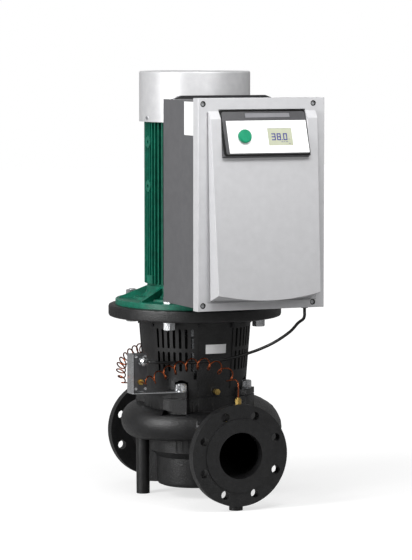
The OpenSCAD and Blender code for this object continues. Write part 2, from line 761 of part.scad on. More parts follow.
module bearing_inner_rings() {
    color("#b8bcc0") at_pump() {
        translate([0, 0, lower_bearing_z]) ring(bearing_in_r + 7, bearing_in_r, bearing_h);
        translate([0, 0, upper_bearing_z]) ring(upper_bearing_in_r + 5.5, upper_bearing_in_r, upper_bearing_h);
    }
}

module ball_row(z, outer, inner, count) {
    for (k = [0:count - 1]) rotate([0, 0, 360 * k / count])
        translate([(outer + inner) / 2, 0, z]) sphere(r = (outer - inner) / 2 - 0.1, $fn = 32);
}

module bearing_balls() {
    color("#d5d8da") at_pump() {
        ball_row(lower_bearing_z + bearing_h / 2, bearing_out_r - 7, bearing_in_r + 7, 9);
        ball_row(upper_bearing_z + upper_bearing_h / 2, upper_bearing_out_r - 5.5, upper_bearing_in_r + 5.5, 9);
    }
}

module motor_shaft() {
    color("#c3c6c8") at_pump() rotate_extrude($fn = smooth)
        polygon([[0, drive_z], [drive_r - 1, drive_z], [drive_r, drive_z + 1], [drive_r, lower_bearing_z - 4],
                 [bearing_in_r, lower_bearing_z - 4], [bearing_in_r, housing_z], [core_r, housing_z],
                 [core_r, upper_bearing_z], [upper_bearing_in_r, upper_bearing_z],
                 [upper_bearing_in_r, housing_top_z], [hub_r, housing_top_z], [hub_r, housing_top_z + 61],
                 [hub_r - 2, housing_top_z + 63], [0, housing_top_z + 63]]);
}

module rotor_core() {
    color("#8c8f91") at_pump() translate([0, 0, core_z + 2]) ring(rotor_r, core_r, core_h - 4);
}

fan_z = housing_top_z + 20;

module fan() {
    color("#2c2c2c") at_pump() difference() {
        union() {
            translate([0, 0, fan_z]) cylinder(r = 26, h = 32);
            translate([0, 0, fan_z + 4]) cylinder(r = 98, h = 3, $fn = smooth);
            for (k = [0:8]) rotate([0, 0, 40 * k]) translate([20, -1.3, fan_z + 4]) cube([84, 2.6, 28]);
        }
        translate([0, 0, fan_z - 1]) cylinder(r = hub_r, h = 40, $fn = smooth);
    }
}

cowl_t = 1.5;

module fan_cowl() {
    color("#c9c9ca") at_pump() difference() {
        rotate_extrude($fn = smooth)
            polygon([[cowl_r - cowl_t, housing_top_z - 0.2], [cowl_r, housing_top_z - 0.2], [cowl_r, cowl_top_z - 3],
                     [cowl_r - 1, cowl_top_z - 1], [cowl_r - 3, cowl_top_z], [0, cowl_top_z],
                     [0, cowl_top_z - 2], [cowl_r - 4, cowl_top_z - 2], [cowl_r - cowl_t, cowl_top_z - 4]]);
        for (i = [0:5], k = [0:3]) rotate([0, 0, 90 * k + 5]) translate([0, 0, cowl_top_z - 5])
            rotate_extrude(angle = 80, $fn = smooth) translate([30 + 13 * i, 0]) square([7, 10]);
        four(-80.6) translate([0, -cowl_r + 12, housing_top_z + 8.6]) outward() cylinder(r = 2.3, h = 20, $fn = 32);
    }
}

module cowl_screws() {
    color("#d8d8d8") at_pump() four(-80.6) translate([0, -cowl_r - 0.1, housing_top_z + 8.6]) outward() {
        cylinder(r = 4, h = 2.4, $fn = 32);
        translate([0, 0, -10]) cylinder(r = 2, h = 11, $fn = 32);
    }
}

// Converter

module converter_adapter() {
    color("#1b6b57") at_pump() translate([-52, sink_back_y + sink_plate_t + gap, housing_z + 110])
        cube([104, pad_y - sink_back_y - sink_plate_t - 2 * gap, 212]);
}

module heat_sink() {
    low = body_z + 12;
    high = body_z + body_h + 7;
    color("#323233") at_pump() difference() {
        union() {
            translate([0, sink_back_y + sink_plate_t, 0]) outward() linear_extrude(height = sink_plate_t)
                polygon([[-117, low], [117, low], [117, high - 7], [98, high], [-98, high], [-117, high - 7]]);
            for (i = [-8:8]) translate([13 * i - 1.5, sink_back_y + 1, low + 2])
                cube([3, sink_fin_y - sink_back_y - 1, high - low - (abs(i) > 7 ? 9 : 4)]);
        }
        translate([-57, sink_back_y + sink_plate_t, housing_z + 104]) cube([114, 60, 224]);
        translate([0, 0, housing_top_z - 3]) cylinder(r = cowl_r + gap, h = cowl_h, $fn = smooth);
    }
}

module converter_body() {
    deep = body_d;
    color("#6a6a6b") at_pump() difference() {
        union() {
            difference() {
                translate([-body_w / 2, body_front_y, body_z]) cube([body_w, deep, body_h]);
                translate([-body_w / 2 + body_wall, body_front_y - 1, body_z + body_wall])
                    cube([body_w - 2 * body_wall, deep + 1 - body_wall, body_h - 2 * body_wall]);
            }
            for (x = cover_screw_x, z = cover_screw_z)
                translate([x, body_front_y + 60, z]) outward() cylinder(r = 6.5, h = 60);
            for (x = [-110, 110], z = [body_z + 26, body_z + body_h - 26])
                translate([x, body_back_y - 1, z]) outward() cylinder(r = 5, h = 65);
        }
        for (x = cover_screw_x, z = cover_screw_z)
            translate([x, body_front_y + 30, z]) outward() cylinder(r = 2.6, h = 40, $fn = 32);
        translate([cable_end[0], cable_end[1], body_z - 1]) cylinder(r = 6, h = 12);
    }
}

module cover_gasket() {
    color("#1a1a1a") at_pump() translate([0, body_front_y, 0]) outward() linear_extrude(height = 2) difference() {
        translate([-body_w / 2 + 0.2, body_z + 0.2]) square([body_w - 0.4, body_h - 0.4]);
        translate([-body_w / 2 + 14.5, body_z + 14.5]) square([body_w - 29, body_h - 29]);
        for (x = cover_screw_x, z = cover_screw_z) translate([x, z]) circle(r = 3, $fn = 32);
    }
}

// The cover's bulge runs from a foot on the cover to a leaning face, whose lower edge is an arc
face_steps = 12;
face_sag = 14;
foot_sag = 2;
foot_taper = 6;
function bulge_half(z, inset) = bulge_w / 2 - inset - foot_taper * (bulge_z1 - z) / (bulge_z1 - bulge_z0);
function bulge_outline(low, high, sag, inset) = concat(
    [for (i = [0:face_steps])
        let (s = 2 * i / face_steps - 1)
        [s * bulge_half(low + sag, inset), low + sag * s * s]],
    [[bulge_half(high, inset), high], [-bulge_half(high, inset), high]]);
module bulge(inset) {
    low = bulge_z0 + inset;
    high = bulge_z1 - inset;
    top = high - bulge_slope_h;
    lean = (bulge_low - bulge_high) / (top - low - 2);
    foot = bulge_outline(low, high, foot_sag, inset);
    skin([
        [for (p = foot) [p[0], cover_y + 8 + inset, p[1]]],
        [for (p = foot) [p[0], cover_y - 1 + inset, p[1]]],
        [for (p = bulge_outline(low + 2, top, face_sag, inset))
            [p[0], cover_y - bulge_low + inset + lean * (p[1] - low - 2), p[1]]]]);
}

module panel_place() {
    translate(panel_top) rotate([-panel_lean, 0, 0]) children();
}

// A flat slab on the panel: x range, range down from the panel's top edge, front and back depth
module panel_slab(x, v, front, back) {
    translate([x[0], front, -v[1]]) cube([x[1] - x[0], back - front, v[1] - v[0]]);
}

module converter_cover() {
    color("#c6c6c7") at_pump() difference() {
        union() {
            translate([-cover_w / 2, cover_y, cover_z]) cube([cover_w, cover_d, cover_h]);
            bulge(0);
        }
        difference() {
            union() {
                translate([-cover_w / 2 + 18, cover_y + 4, cover_z + 18])
                    cube([cover_w - 36, cover_d, cover_h - 36]);
                bulge(4);
            }
            panel_place() panel_slab([-panel_w / 2 - 4, panel_w / 2 + 4], [-4, panel_h + 4], -20, panel_t + 4);
            for (x = cover_screw_x, z = cover_screw_z)
                translate([x, cover_y + cover_d, z]) outward() cylinder(r = 10, h = cover_d);
        }
        difference() {
            translate([0, cover_y + 3, 0]) outward() linear_extrude(height = 10) difference() {
                translate([-bulge_w / 2 - 3, bulge_z0 - 3]) square([bulge_w + 6, bulge_z1 - bulge_z0]);
                translate([-bulge_w / 2 + 2 * foot_taper, bulge_z0 + 8]) square([bulge_w - 4 * foot_taper, bulge_z1 - bulge_z0]);
            }
            bulge(0);
        }
        panel_place() panel_slab([-panel_w / 2 - gap, panel_w / 2 + gap], [-gap, panel_h + gap], -20, panel_t);
        for (x = cover_screw_x, z = cover_screw_z) translate([x, cover_y + cover_d + 1, z]) outward() {
            cylinder(r = 2.8, h = 40, $fn = 32);
            translate([0, 0, cover_d + 1 - 7]) cylinder(r = 6.2, h = 10);
        }
    }
}

module cover_screws() {
    color("#e2e2e2") at_pump() for (x = cover_screw_x, z = cover_screw_z)
        translate([x, cover_y + 7 - 0.1, z]) outward() difference() {
            union() {
                cylinder(r = 4.6, h = 4);
                translate([0, 0, -36]) cylinder(r = 2.5, h = 37, $fn = 32);
            }
            translate([0, 0, 1.5]) cylinder(r = 2.3, h = 4, $fn = 6);
        }
}

board_y = body_back_y - 66;

module circuit_board() {
    color("#1e6b3a") at_pump() {
        translate([-body_w / 2 + 18, board_y - 2, body_z + 18]) cube([body_w - 36, 1.7, body_h - 36]);
        for (i = [0:3]) translate([-70 + 46 * i, board_y - 1.5, body_z + body_h - 101]) outward() cylinder(r = 17, h = 52);
        translate([-90, board_y - 37, body_z + 200]) cube([80, 36, 66]);
        translate([20, board_y - 22, body_z + 150]) cube([76, 21, 120]);
        translate([-110, board_y - 24, body_z + 30]) cube([200, 23, 26]);
    }
}

module panel_frame() {
    color("#2e2e30") at_pump() panel_place() difference() {
        panel_slab([-panel_w / 2, panel_w / 2], [0, panel_h], 0, panel_t - gap);
        panel_slab([plate_x[0] - gap, plate_x[1] + gap], [plate_v[0] - gap, plate_v[1] + gap], -1, 1.8);
        panel_slab([-40, 62], [7, 18], -1, 1);
        panel_slab([display_x[0] - 3, display_x[1] + 3], [display_v[0] - 3, display_v[1] + 3], 1, 6);
        translate([knob_x, panel_t, -knob_v]) outward() cylinder(r = stem_r + run_gap, h = panel_t + 2);
        translate([knob_x, panel_t, -knob_v]) outward() cylinder(r = stem_r + 3, h = 6);
    }
}

module panel_plate() {
    color("white") at_pump() panel_place() difference() {
        panel_slab(plate_x, plate_v, -0.2, 1.5);
        panel_slab([display_x[0] - gap, display_x[1] + gap], [display_v[0] - gap, display_v[1] + gap], -1, 4);
        translate([knob_x, 4, -knob_v]) outward() cylinder(r = stem_r + 1.5, h = 8);
    }
}

module display() {
    color("#cfd6bb") at_pump() panel_place() panel_slab(display_x, display_v, 0.2, 5.7);
}

module knob_stem() {
    color("#8d8f90") at_pump() panel_place() translate([knob_x, panel_t - 4, -knob_v]) outward() {
        cylinder(r = stem_r, h = panel_t - 4 + knob_gap + knob_h - 2);
        cylinder(r = stem_r + 2, h = 1.7);
    }
}

module knob() {
    color("#009070") at_pump() panel_place() translate([knob_x, -knob_gap, -knob_v]) outward() difference() {
        union() {
            cylinder(r = knob_r, h = knob_h - 1);
            cylinder(r = knob_r - 1.2, h = knob_h);
            for (k = [0:17]) rotate([0, 0, 20 * k]) translate([knob_r - 0.6, -0.8, 0.6]) cube([1, 1.6, knob_h - 2.4]);
        }
        translate([0, 0, -1]) cylinder(r = stem_r + run_gap, h = knob_h - 1 + 0.05);
    }
}

module cable_gland() {
    color("#2a2a2a") at_pump() translate([cable_end[0], cable_end[1], body_z - 12]) {
        cylinder(r = 8, h = 8, $fn = 6);
        translate([0, 0, 8]) cylinder(r = 9.5, h = 4 - 0.1);
        translate([0, 0, 11]) cylinder(r = 5.9, h = 9);
    }
}

module converter_plate() {
    color("white") at_pump() translate([-body_w / 2 - 0.8, body_front_y + 0.5, body_z + body_h - 72.3])
        cube([0.7, 52, 69.7]);
}

// Hydraulic rotor and seal

module stub_shaft() {
    color("#c9cccf") at_pump() difference() {
        rotate_extrude($fn = smooth)
            polygon([[0, 20], [thread_r, 20], [thread_r, 36], [hub_r, 36], [hub_r, 75], [shaft_r, 75],
                     [shaft_r, coupling_low_z], [coupling_r, coupling_low_z + 6], [coupling_r, coupling_high_z],
                     [drive_r, coupling_high_z], [drive_r, drive_z], [0, drive_z]]);
        for (z = [18, 48]) four(0) translate([0, -drive_r + 3, coupling_low_z + z]) outward() cylinder(r = 4, h = 20, $fn = 32);
        for (k = [0:1]) rotate([0, 0, 180 * k + 45]) translate([-1.5, 20, drive_z + 2]) cube([3, 20, 80]);
    }
}

module coupling_screws() {
    color("#2a2a2a") at_pump() for (z = [18, 48]) four(0)
        translate([0, -drive_r - 0.1, coupling_low_z + z]) outward() difference() {
            cylinder(r = 3.95, h = 13.5, $fn = 32);
            translate([0, 0, 9]) cylinder(r = 2.3, h = 6, $fn = 6);
        }
}

module vane_outline() {
    intersection() {
        difference() {
            translate([-30, 52]) circle(r = 66, $fn = smooth);
            translate([-30, 52]) circle(r = 62.5, $fn = smooth);
        }
        difference() {
            circle(r = impeller_r - 1, $fn = smooth);
            circle(r = 30);
        }
        translate([0, -100]) square([120, 100]);
    }
}

module impeller() {
    color("#4a4a4c") at_pump() difference() {
        union() {
            rotate_extrude($fn = smooth)
                polygon([[hub_r, 36], [24, 36], [26, 58], [impeller_r, 62], [impeller_r, 66], [26, 68], [24, 74], [hub_r, 74]]);
            rotate_extrude($fn = smooth)
                polygon([[neck_ring_r - 4, 26], [neck_ring_r, 26], [neck_ring_r, 38], [impeller_r, 44],
                         [impeller_r, 47], [neck_ring_r - 2, 42]]);
            for (k = [0:5]) rotate([0, 0, 60 * k]) translate([0, 0, 41.5]) linear_extrude(height = 20.5) vane_outline();
        }
        translate([0, 0, 30]) cylinder(r = hub_r, h = 60, $fn = smooth);
    }
}

module impeller_nut() {
    color("#c0c3c5") at_pump() translate([0, 0, 23]) difference() {
        cylinder(r = 15, h = 13, $fn = 6);
        translate([0, 0, -1]) cylinder(r = thread_r, h = 16);
    }
}

module seal_bellows() {
    color("#161616") at_pump() rotate_extrude($fn = smooth)
        polygon([[shaft_r, 75], [24, 75], [24, 79], [20, 80], [20, 82], [24, 83], [24, 85], [20, 86],
                 [20, 88], [24, 89], [24, 92], [shaft_r, 92]]);
}

module seal_ring() {
    color("#3c3c3e") at_pump() translate([0, 0, 92]) ring(23, shaft_r, 11.9);
}

module seal_seat() {
    color("#dcdcd4") at_pump() translate([0, 0, 104]) ring(seal_pocket_r, shaft_r + 1.5, 8);
}

// Pressure sensor, its bracket, fittings, capillaries and cable

module sensor_bracket() {
    lo = sensor_lo;
    hi = sensor_hi;
    color("#bfc1c3") at_pump() {
        translate([0, 0, lug_top_z]) linear_extrude(height = strip_t) difference() {
            union() {
                polygon([[-76, -105], [-112, -100], [-150, -93], [-184.5, -90], [-184.5, -58], [-150, -58],
                         [-124, -72], [-96, -74], [-70, -78]]);
                rotate(bolt_turn) translate([0, -bolt_ring_r]) circle(r = head_r + 1.5);
            }
            circle(r = cone_r(lug_top_z + 4) + gap, $fn = smooth);
            rotate(bolt_turn) translate([0, -bolt_ring_r]) circle(d = casing_bolt_d + 1);
        }
        translate([lo[0] - 3.3, lo[1] - 1, lug_top_z]) cube([3, hi[1] - lo[1] + 4, hi[2] - lug_top_z]);
        translate([lo[0] - 3.3, hi[1] + gap, lug_top_z]) cube([hi[0] - lo[0] + 3.3, 3, 14]);
    }
}

module sensor_body() {
    color("#3b3b3d") at_pump() difference() {
        translate(sensor_lo) cube(sensor_hi - sensor_lo);
        for (x = [sensor_lo[0] + 4.5, sensor_hi[0] - 4.5], z = [sensor_lo[2] + 5, sensor_hi[2] - 5])
            translate([x, sensor_lo[1] + 12, z]) outward() cylinder(r = 1.6, h = 20, $fn = 32);
    }
}

module sensor_screws() {
    color("#dedede") at_pump()
        for (x = [sensor_lo[0] + 4.5, sensor_hi[0] - 4.5], z = [sensor_lo[2] + 5, sensor_hi[2] - 5])
            translate([x, sensor_lo[1] - 0.1, z]) outward() {
                cylinder(r = 3, h = 2.2, $fn = 32);
                translate([0, 0, -10]) cylinder(r = 1.5, h = 11, $fn = 32);
            }
}

// Places a solid drawn along +z so that its end lies at a point and it points along a way
module aim(at, toward) {
    turn = atan2(toward[1], toward[0]);
    tip = acos(toward[2] / norm(toward));
    translate(at) rotate([0, tip, turn]) children();
}

module sensor_gland() {
    color("#d4d6d8") at_pump() intersection() {
        aim(gland_end, gland_way) {
            translate([0, 0, -gland_len - 4]) cylinder(r = 8.5, h = 10);
            translate([0, 0, -18]) cylinder(r = 11, h = 6, $fn = 6);
            translate([0, 0, -12.5]) cylinder(r = 9.5, h = 8);
            translate([0, 0, -5]) cylinder(r1 = 9.5, r2 = 6, h = 5);
        }
        translate([-220, -160, 150]) cube([120, 160 + sensor_lo[1] - 0.1, 80]);
    }
}

module fitting() {
    cylinder(r = 6.8, h = 6, $fn = 6);
    translate([0, 0, 6]) cylinder(r = 4.2, h = 4);
}

module sensor_fittings() {
    color("#c9a75a") at_pump() {
        translate(fitting_at - [0, 0.1, 0]) outward() fitting();
        translate(rear_fitting_at + [0, 0.1, 0]) rotate([-90, 0, 0]) fitting();
    }
}

module port_fittings() {
    color("#c9a75a") at_pump() for (y = [-port_y, port_y]) translate([0, y, flange_d / 2]) {
        translate([0, 0, 0.1]) cylinder(r = 7.2, h = port_fitting_h - 3.1, $fn = 6);
        translate([0, 0, port_fitting_h - 4]) cylinder(r = 4.2, h = 4);
        translate([0, 0, -8]) cylinder(r = 3 - run_gap, h = 9, $fn = 32);
    }
}

function front_line() = concat(
    [fitting_at - [0, fitting_len + 0.3, 0], fitting_at - [0, fitting_len + 5, 0]],
    coil(coil_front, 12, 8),
    [[-2, -221, 160.5], [0.5, -231, 157], [0, -port_y, 149], [0, -port_y, flange_d / 2 + port_fitting_h + 0.3]]);

function rear_line() = concat(
    [rear_fitting_at + [0, fitting_len + 0.3, 0], rear_fitting_at + [-1, fitting_len + 5, 0],
     rear_fitting_at + [-9, fitting_len + 8, -6]],
    coil(coil_rear, 11, 10),
    [[-22, 215, 160], [-8, 232, 150], [0, port_y, 142], [0, port_y, flange_d / 2 + port_fitting_h + 0.3]]);

module capillary_front() {
    color("#b5673a") at_pump() tube(front_line(), capillary_d, 6);
}

module capillary_rear() {
    color("#b5673a") at_pump() tube(rear_line(), capillary_d, 6);
}

module sensor_cable() {
    color("#141414") at_pump() tube(curve(cable_route, 40), cable_d, 10);
}

pump_casing();
casing_o_ring();
wear_ring();
drain_plug();
lantern();
guard_front_left();
guard_front_right();
guard_rear_right();
guard_rear_left();
guard_screws();
casing_bolts();
motor_bolts();
motor_nuts();
lower_end_shield();
stator_housing();
upper_end_shield();
stator_core();
stator_winding();
bearing_outer_rings();
bearing_balls();
fan_cowl();
cowl_screws();
converter_adapter();
heat_sink();
converter_body();
cover_gasket();
converter_cover();
cover_screws();
circuit_board();
panel_frame();
panel_plate();
display();
knob_stem();
knob();
seal_seat();
sensor_bracket();
sensor_body();
sensor_screws();
sensor_gland();
sensor_fittings();
port_fittings();
capillary_front();
capillary_rear();
sensor_cable();
cable_gland();
lantern_plate();
converter_plate();
vent_screw();
motor_shaft();
rotor_core();
bearing_inner_rings();
fan();
stub_shaft();
coupling_screws();
impeller();
impeller_nut();
seal_ring();
seal_bellows();
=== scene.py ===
# %% [markdown]
# # Dressing an in-line pump
# An in-line pump stands in a straight pipe. From the floor up it is a spiral casing with two
# pipe flanges, a lantern with slotted guards, a finned motor and, in front of the motor,
# the box of the frequency converter with its control panel.
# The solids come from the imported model, so every size is already right.
# This lesson gives them their finishes and adds the fine pieces that a solid leaves plain.

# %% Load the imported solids
import math
import bpy
from mathutils import Matrix, Vector


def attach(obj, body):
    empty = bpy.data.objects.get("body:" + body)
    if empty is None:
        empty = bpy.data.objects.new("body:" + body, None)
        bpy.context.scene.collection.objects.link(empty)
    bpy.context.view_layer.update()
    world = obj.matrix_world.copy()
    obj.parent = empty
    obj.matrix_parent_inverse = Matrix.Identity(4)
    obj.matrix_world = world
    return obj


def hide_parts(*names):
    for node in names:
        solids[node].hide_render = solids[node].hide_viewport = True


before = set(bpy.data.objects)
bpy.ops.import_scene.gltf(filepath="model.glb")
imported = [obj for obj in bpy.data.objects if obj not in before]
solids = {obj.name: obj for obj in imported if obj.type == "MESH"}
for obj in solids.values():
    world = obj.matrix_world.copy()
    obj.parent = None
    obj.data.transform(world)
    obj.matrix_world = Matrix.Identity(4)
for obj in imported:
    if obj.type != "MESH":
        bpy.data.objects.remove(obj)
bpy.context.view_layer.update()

# %% [markdown]
# ## One frame for everything
# The drawing measures in millimetres from the shaft axis and the pipe axis.
# Blender works in metres from the middle of the front flange's sealing face, 250 mm in front
# of the shaft. One function turns the first into the second, so that each size in this lesson
# can be read as it stands on the drawing.

# %% From drawing millimetres to scene metres
flange_to_shaft = 250.0


def at(x, y, z):
    """Give the scene's place, in metres, of a point on the drawing, in millimetres."""
    return Vector((x, y + flange_to_shaft, z)) / 1000.0


print("the shaft's axis stands at", tuple(at(0, 0, 0)))

# %% [markdown]
# ## The camera
# The photograph was taken with a long lens from a little left of the front and slightly above,
# so that upright edges stay nearly parallel. Its place was worked out from the two flanges'
# circles and the box's edges. The lens is set for a portrait picture of 412 x 560 pixels.

# %% Place the camera
camera_place = (-2.4169, -5.4042, 0.8828)
camera_backwards = Vector((-0.3953, -0.9146, 0.0852))
lens_mm = 180.06
film_mm = 36.0

bpy.ops.object.camera_add(location=camera_place)
camera = bpy.context.object
camera.name = "product_camera"
camera.rotation_euler = (-camera_backwards).to_track_quat("-Z", "Y").to_euler()
camera.data.sensor_width = film_mm
camera.data.lens = lens_mm
camera.data.clip_end = 60.0
bpy.context.scene.camera = camera
print("camera at", tuple(round(v, 3) for v in camera.location))

# %% [markdown]
# ## Lines that bend
# The sensor's cable and the two copper tubes follow smooth lines through a few points.
# Each stretch between two points is a cubic that also looks at the points before and after,
# so the line has no kinks. Blender then sweeps a round section along it.

# %% Smooth lines through points
def line_at(points, u):
    """Give the place at u on a line, where whole numbers of u are the points themselves."""
    last = len(points) - 1
    i = min(int(u), last - 1)
    f = u - i
    a, b, c, d = (Vector(points[k]) for k in (max(i - 1, 0), i, i + 1, min(i + 2, last)))
    return 0.5 * (2 * b + (c - a) * f + (2 * a - 5 * b + 4 * c - d) * f * f
                  + (3 * b - a - 3 * c + d) * f * f * f)


def smooth_line(points, steps):
    return [line_at(points, (len(points) - 1) * i / steps) for i in range(steps + 1)]


def length_of(line):
    return sum((b - a).length for a, b in zip(line, line[1:])) / 1000.0


def swept(name, points, radius):
    """Sweep a round section along a line, with both ends closed."""
    curve = bpy.data.curves.new(name, "CURVE")
    curve.dimensions = "3D"
    curve.bevel_depth = radius / 1000.0
    curve.bevel_resolution = 4
    curve.use_fill_caps = True
    spline = curve.splines.new("POLY")
    spline.points.add(len(points) - 1)
    for target, p in zip(spline.points, points):
        target.co = (*at(*p), 1.0)
    spline.use_smooth = True
    piece = bpy.data.objects.new(name, curve)
    bpy.context.scene.collection.objects.link(piece)
    return piece


# %% [markdown]
# ## The sensor's cable
# A 6.5 mm signal cable leaves the gland of the pressure sensor, runs across the lantern and
# rises in one free sweep into the bottom of the converter box. Both ends are held, so its
# length is fixed by the line that the photograph shows. It could be draped by simulation,
# but a held cable this stiff keeps the sweep it was given, so its line is drawn.

# %% Lay the sensor's cable
cable_radius = 3.25
cable_steps = 114
cable_route = [(-161.98, -110.2, 195.01), (-161.5, -114.97, 195.2), (-161, -119.94, 195.4),
               (-158, -127, 195.5), (-147, -131, 194.5), (-128, -128, 193), (-104, -124, 191.3),
               (-76, -125, 190.4), (-45, -132, 191), (-13, -141, 193), (19, -150, 198),
               (48, -163, 207), (75, -182, 219), (100, -206, 236), (120, -238, 260),
               (127, -264, 281), (130, -283, 291), (130, -290, 299), (130, -290, 307),
               (130, -290, 315.8)]
cable_line = smooth_line(cable_route, cable_steps)
cable = swept("sensor_cable_sheath", cable_line, cable_radius)

# %% [markdown]
# ## Finishes
# A finish starts as what the real surface is. Painted iron keeps the grain of the sand it was
# cast in, moulded plastic has a fine spark-eroded texture, sheet and rod show the direction
# of rolling or turning. One function turns a hex colour into the linear numbers that the
# shader wants. A second adds a node with its settings and links.

# %% Colour and node helpers
def linear(code):
    """Turn an sRGB hex colour into linear red, green, blue and a full alpha."""
    parts = [int(code[i:i + 2], 16) / 255.0 for i in (1, 3, 5)]
    lit = [p / 12.92 if p <= 0.04045 else ((p + 0.055) / 1.055) ** 2.4 for p in parts]
    return (*lit, 1.0)


def add_node(tree, kind, inputs=None, **settings):
    """Add a node. An input is either another node's output, to link, or a plain value."""
    node = tree.nodes.new(kind)
    for name, value in settings.items():
        setattr(node, name, value)
    for name, value in (inputs or {}).items():
        if isinstance(value, bpy.types.NodeSocket):
            tree.links.new(value, node.inputs[name])
        else:
            node.inputs[name].default_value = value
    return node


print("mid grey #808080 is", round(linear("#808080")[0], 3), "in linear light")

# %% [markdown]
# ## A grained finish
# The finishes here share one build. A noise of a real size in millimetres, stretched along
# the direction of working, mixes two close colours, moves the roughness a little and turns
# the light as if the surface rose and fell with it. A second, slower noise of about 17 mm
# stands for uneven paint and handling. What differs is the grain, so that is what each finish
# names: the grain's size and its lift in millimetres, and the roughness from the smoothest
# spot to the roughest.

# %% Build a grained finish
clouds_per_metre = 60.0


def grained(name, light, dark, grain, lift, rough, metallic=0.0, stretch=(1, 1, 1), coat=0.0,
            mirror=0.5):
    """Make one finish: two colours mixed by a grain, which also moves roughness and height."""
    material = bpy.data.materials.new(name)
    material.use_nodes = True
    tree = material.node_tree
    shader = tree.nodes["Principled BSDF"]
    place = add_node(tree, "ShaderNodeTexCoord")
    turned = add_node(tree, "ShaderNodeMapping", {
        "Vector": place.outputs["Object"], "Scale": stretch})
    grit = add_node(tree, "ShaderNodeTexNoise", {
        "Vector": turned.outputs["Vector"], "Scale": 1000.0 / grain, "Detail": 3.0,
        "Roughness": 0.5})
    cloud = add_node(tree, "ShaderNodeTexNoise", {
        "Vector": place.outputs["Object"], "Scale": clouds_per_metre, "Detail": 4.0})
    blend = add_node(tree, "ShaderNodeMath", {
        0: grit.outputs["Fac"], 1: cloud.outputs["Fac"]}, operation="MULTIPLY")
    spread = add_node(tree, "ShaderNodeMapRange", {
        "Value": blend.outputs["Value"], "From Min": 0.12, "From Max": 0.42})
    colour = add_node(tree, "ShaderNodeMix", {
        "Factor": spread.outputs["Result"], "A": linear(dark), "B": linear(light)},
        data_type="RGBA")
    sheen = add_node(tree, "ShaderNodeMapRange", {
        "Value": grit.outputs["Fac"], "From Min": 0.3, "From Max": 0.7,
        "To Min": rough[1], "To Max": rough[0]})
    bump = add_node(tree, "ShaderNodeBump", {
        "Height": grit.outputs["Fac"], "Strength": 1.0, "Distance": lift / 1000.0})
    tree.links.new(colour.outputs["Result"], shader.inputs["Base Color"])
    tree.links.new(sheen.outputs["Result"], shader.inputs["Roughness"])
    tree.links.new(bump.outputs["Normal"], shader.inputs["Normal"])
    shader.inputs["Metallic"].default_value = metallic
    shader.inputs["Coat Weight"].default_value = coat
    shader.inputs["Specular IOR Level"].default_value = mirror
    return material


# %% [markdown]
# ## Castings
# The casing and the lantern are grey cast iron from a sand mould under one coat of black paint.
# Sand leaves grains of about 1 mm that catch the light as fine speckle. They are drawn at
# 2.6 mm, because finer ones don't show in a picture of the whole pump.
# The motor's shields and housing are die-cast aluminium in a green enamel: the same idea,
# but with a smoother and glossier skin.

# %% Cast finishes
black_iron = grained("black painted grey cast iron", "#1E1E1F", "#0A0A0B",
                     grain=2.6, lift=0.85, rough=(0.3, 0.52))
green_enamel = grained("green enamel on die-cast aluminium", "#0B735B", "#064E3E",
                       grain=2.4, lift=0.4, rough=(0.28, 0.44))
# The impeller stays unpainted, so it is duller and lighter.
bare_iron = grained("bare cast iron", "#6A6A6C", "#454547",
                    grain=2.0, lift=0.1, rough=(0.4, 0.6), metallic=0.6)
print("cast finishes:", black_iron.name, "/", green_enamel.name, "/", bare_iron.name)

# %% [markdown]
# ## Sheet and extrusions
# The cowl is rolled from sheet steel and sprayed silver. The guards are sheet steel in black
# powder coat, which dries with a skin like an orange's. The converter's heat sink is extruded
# aluminium, dyed black in its anodised skin.

# %% Sheet and extrusion finishes
# Fine metal flakes in the paint soften the light without a clear mirror image.
silver_paint = grained("silver paint on sheet steel", "#CFCFD0", "#C2C2C4",
                       grain=0.8, lift=0.006, rough=(0.34, 0.42), metallic=0.35)
powder_coat = grained("black powder coated sheet", "#1C1C1D", "#101011",
                      grain=2.2, lift=0.05, rough=(0.36, 0.52))
# Extruded fins show faint lines along the press direction, which is upright here.
anodised = grained("black anodised aluminium", "#303032", "#222224",
                   grain=1.5, lift=0.02, rough=(0.35, 0.5), metallic=0.4, stretch=(1, 1, 0.1))
print("sheet finishes:", silver_paint.name, "/", powder_coat.name, "/", anodised.name)

# %% [markdown]
# ## Plastics and rubber
# The cover and the body of the box are moulded polycarbonate with a fine eroded texture of
# about 0.6 mm, which is drawn at 0.9 to 1 mm so that it can be seen. The light cover is
# glossier than the dark body behind it, because its mould was polished finer. The knob and
# the panel's frame are satin ABS, which mirrors little, so their mirror value is low. The
# panel's foil is nearly smooth, the cable's sheath has a soft gloss, and rubber is dull.

# %% Plastic and rubber finishes
light_plastic = grained("light grey moulded polycarbonate", "#BEBEC0", "#B6B6B8",
                        grain=0.9, lift=0.006, rough=(0.26, 0.32))
dark_plastic = grained("dark grey moulded polycarbonate", "#5B5B5D", "#525254",
                       grain=1.0, lift=0.02, rough=(0.45, 0.6))
black_abs = grained("black satin ABS", "#4A4A4C", "#404042",
                    grain=0.9, lift=0.01, rough=(0.3, 0.42), mirror=0.3)
white_foil = grained("white polyester foil", "#F4F4F4", "#EBEBEC",
                     grain=1.2, lift=0.004, rough=(0.28, 0.38))
green_abs = grained("green satin ABS", "#009068", "#007553",
                    grain=1.0, lift=0.01, rough=(0.4, 0.5), mirror=0.2)
fan_plastic = grained("black fan polyamide", "#2A2A2B", "#1D1D1E",
                      grain=1.4, lift=0.02, rough=(0.4, 0.55))
sheath_pvc = grained("black cable sheath", "#141415", "#0B0B0C",
                     grain=1.8, lift=0.02, rough=(0.3, 0.45))
black_rubber = grained("black moulded rubber", "#1D1D1D", "#111111",
                       grain=1.6, lift=0.02, rough=(0.55, 0.75))
print("materials in the file:", len(bpy.data.materials))

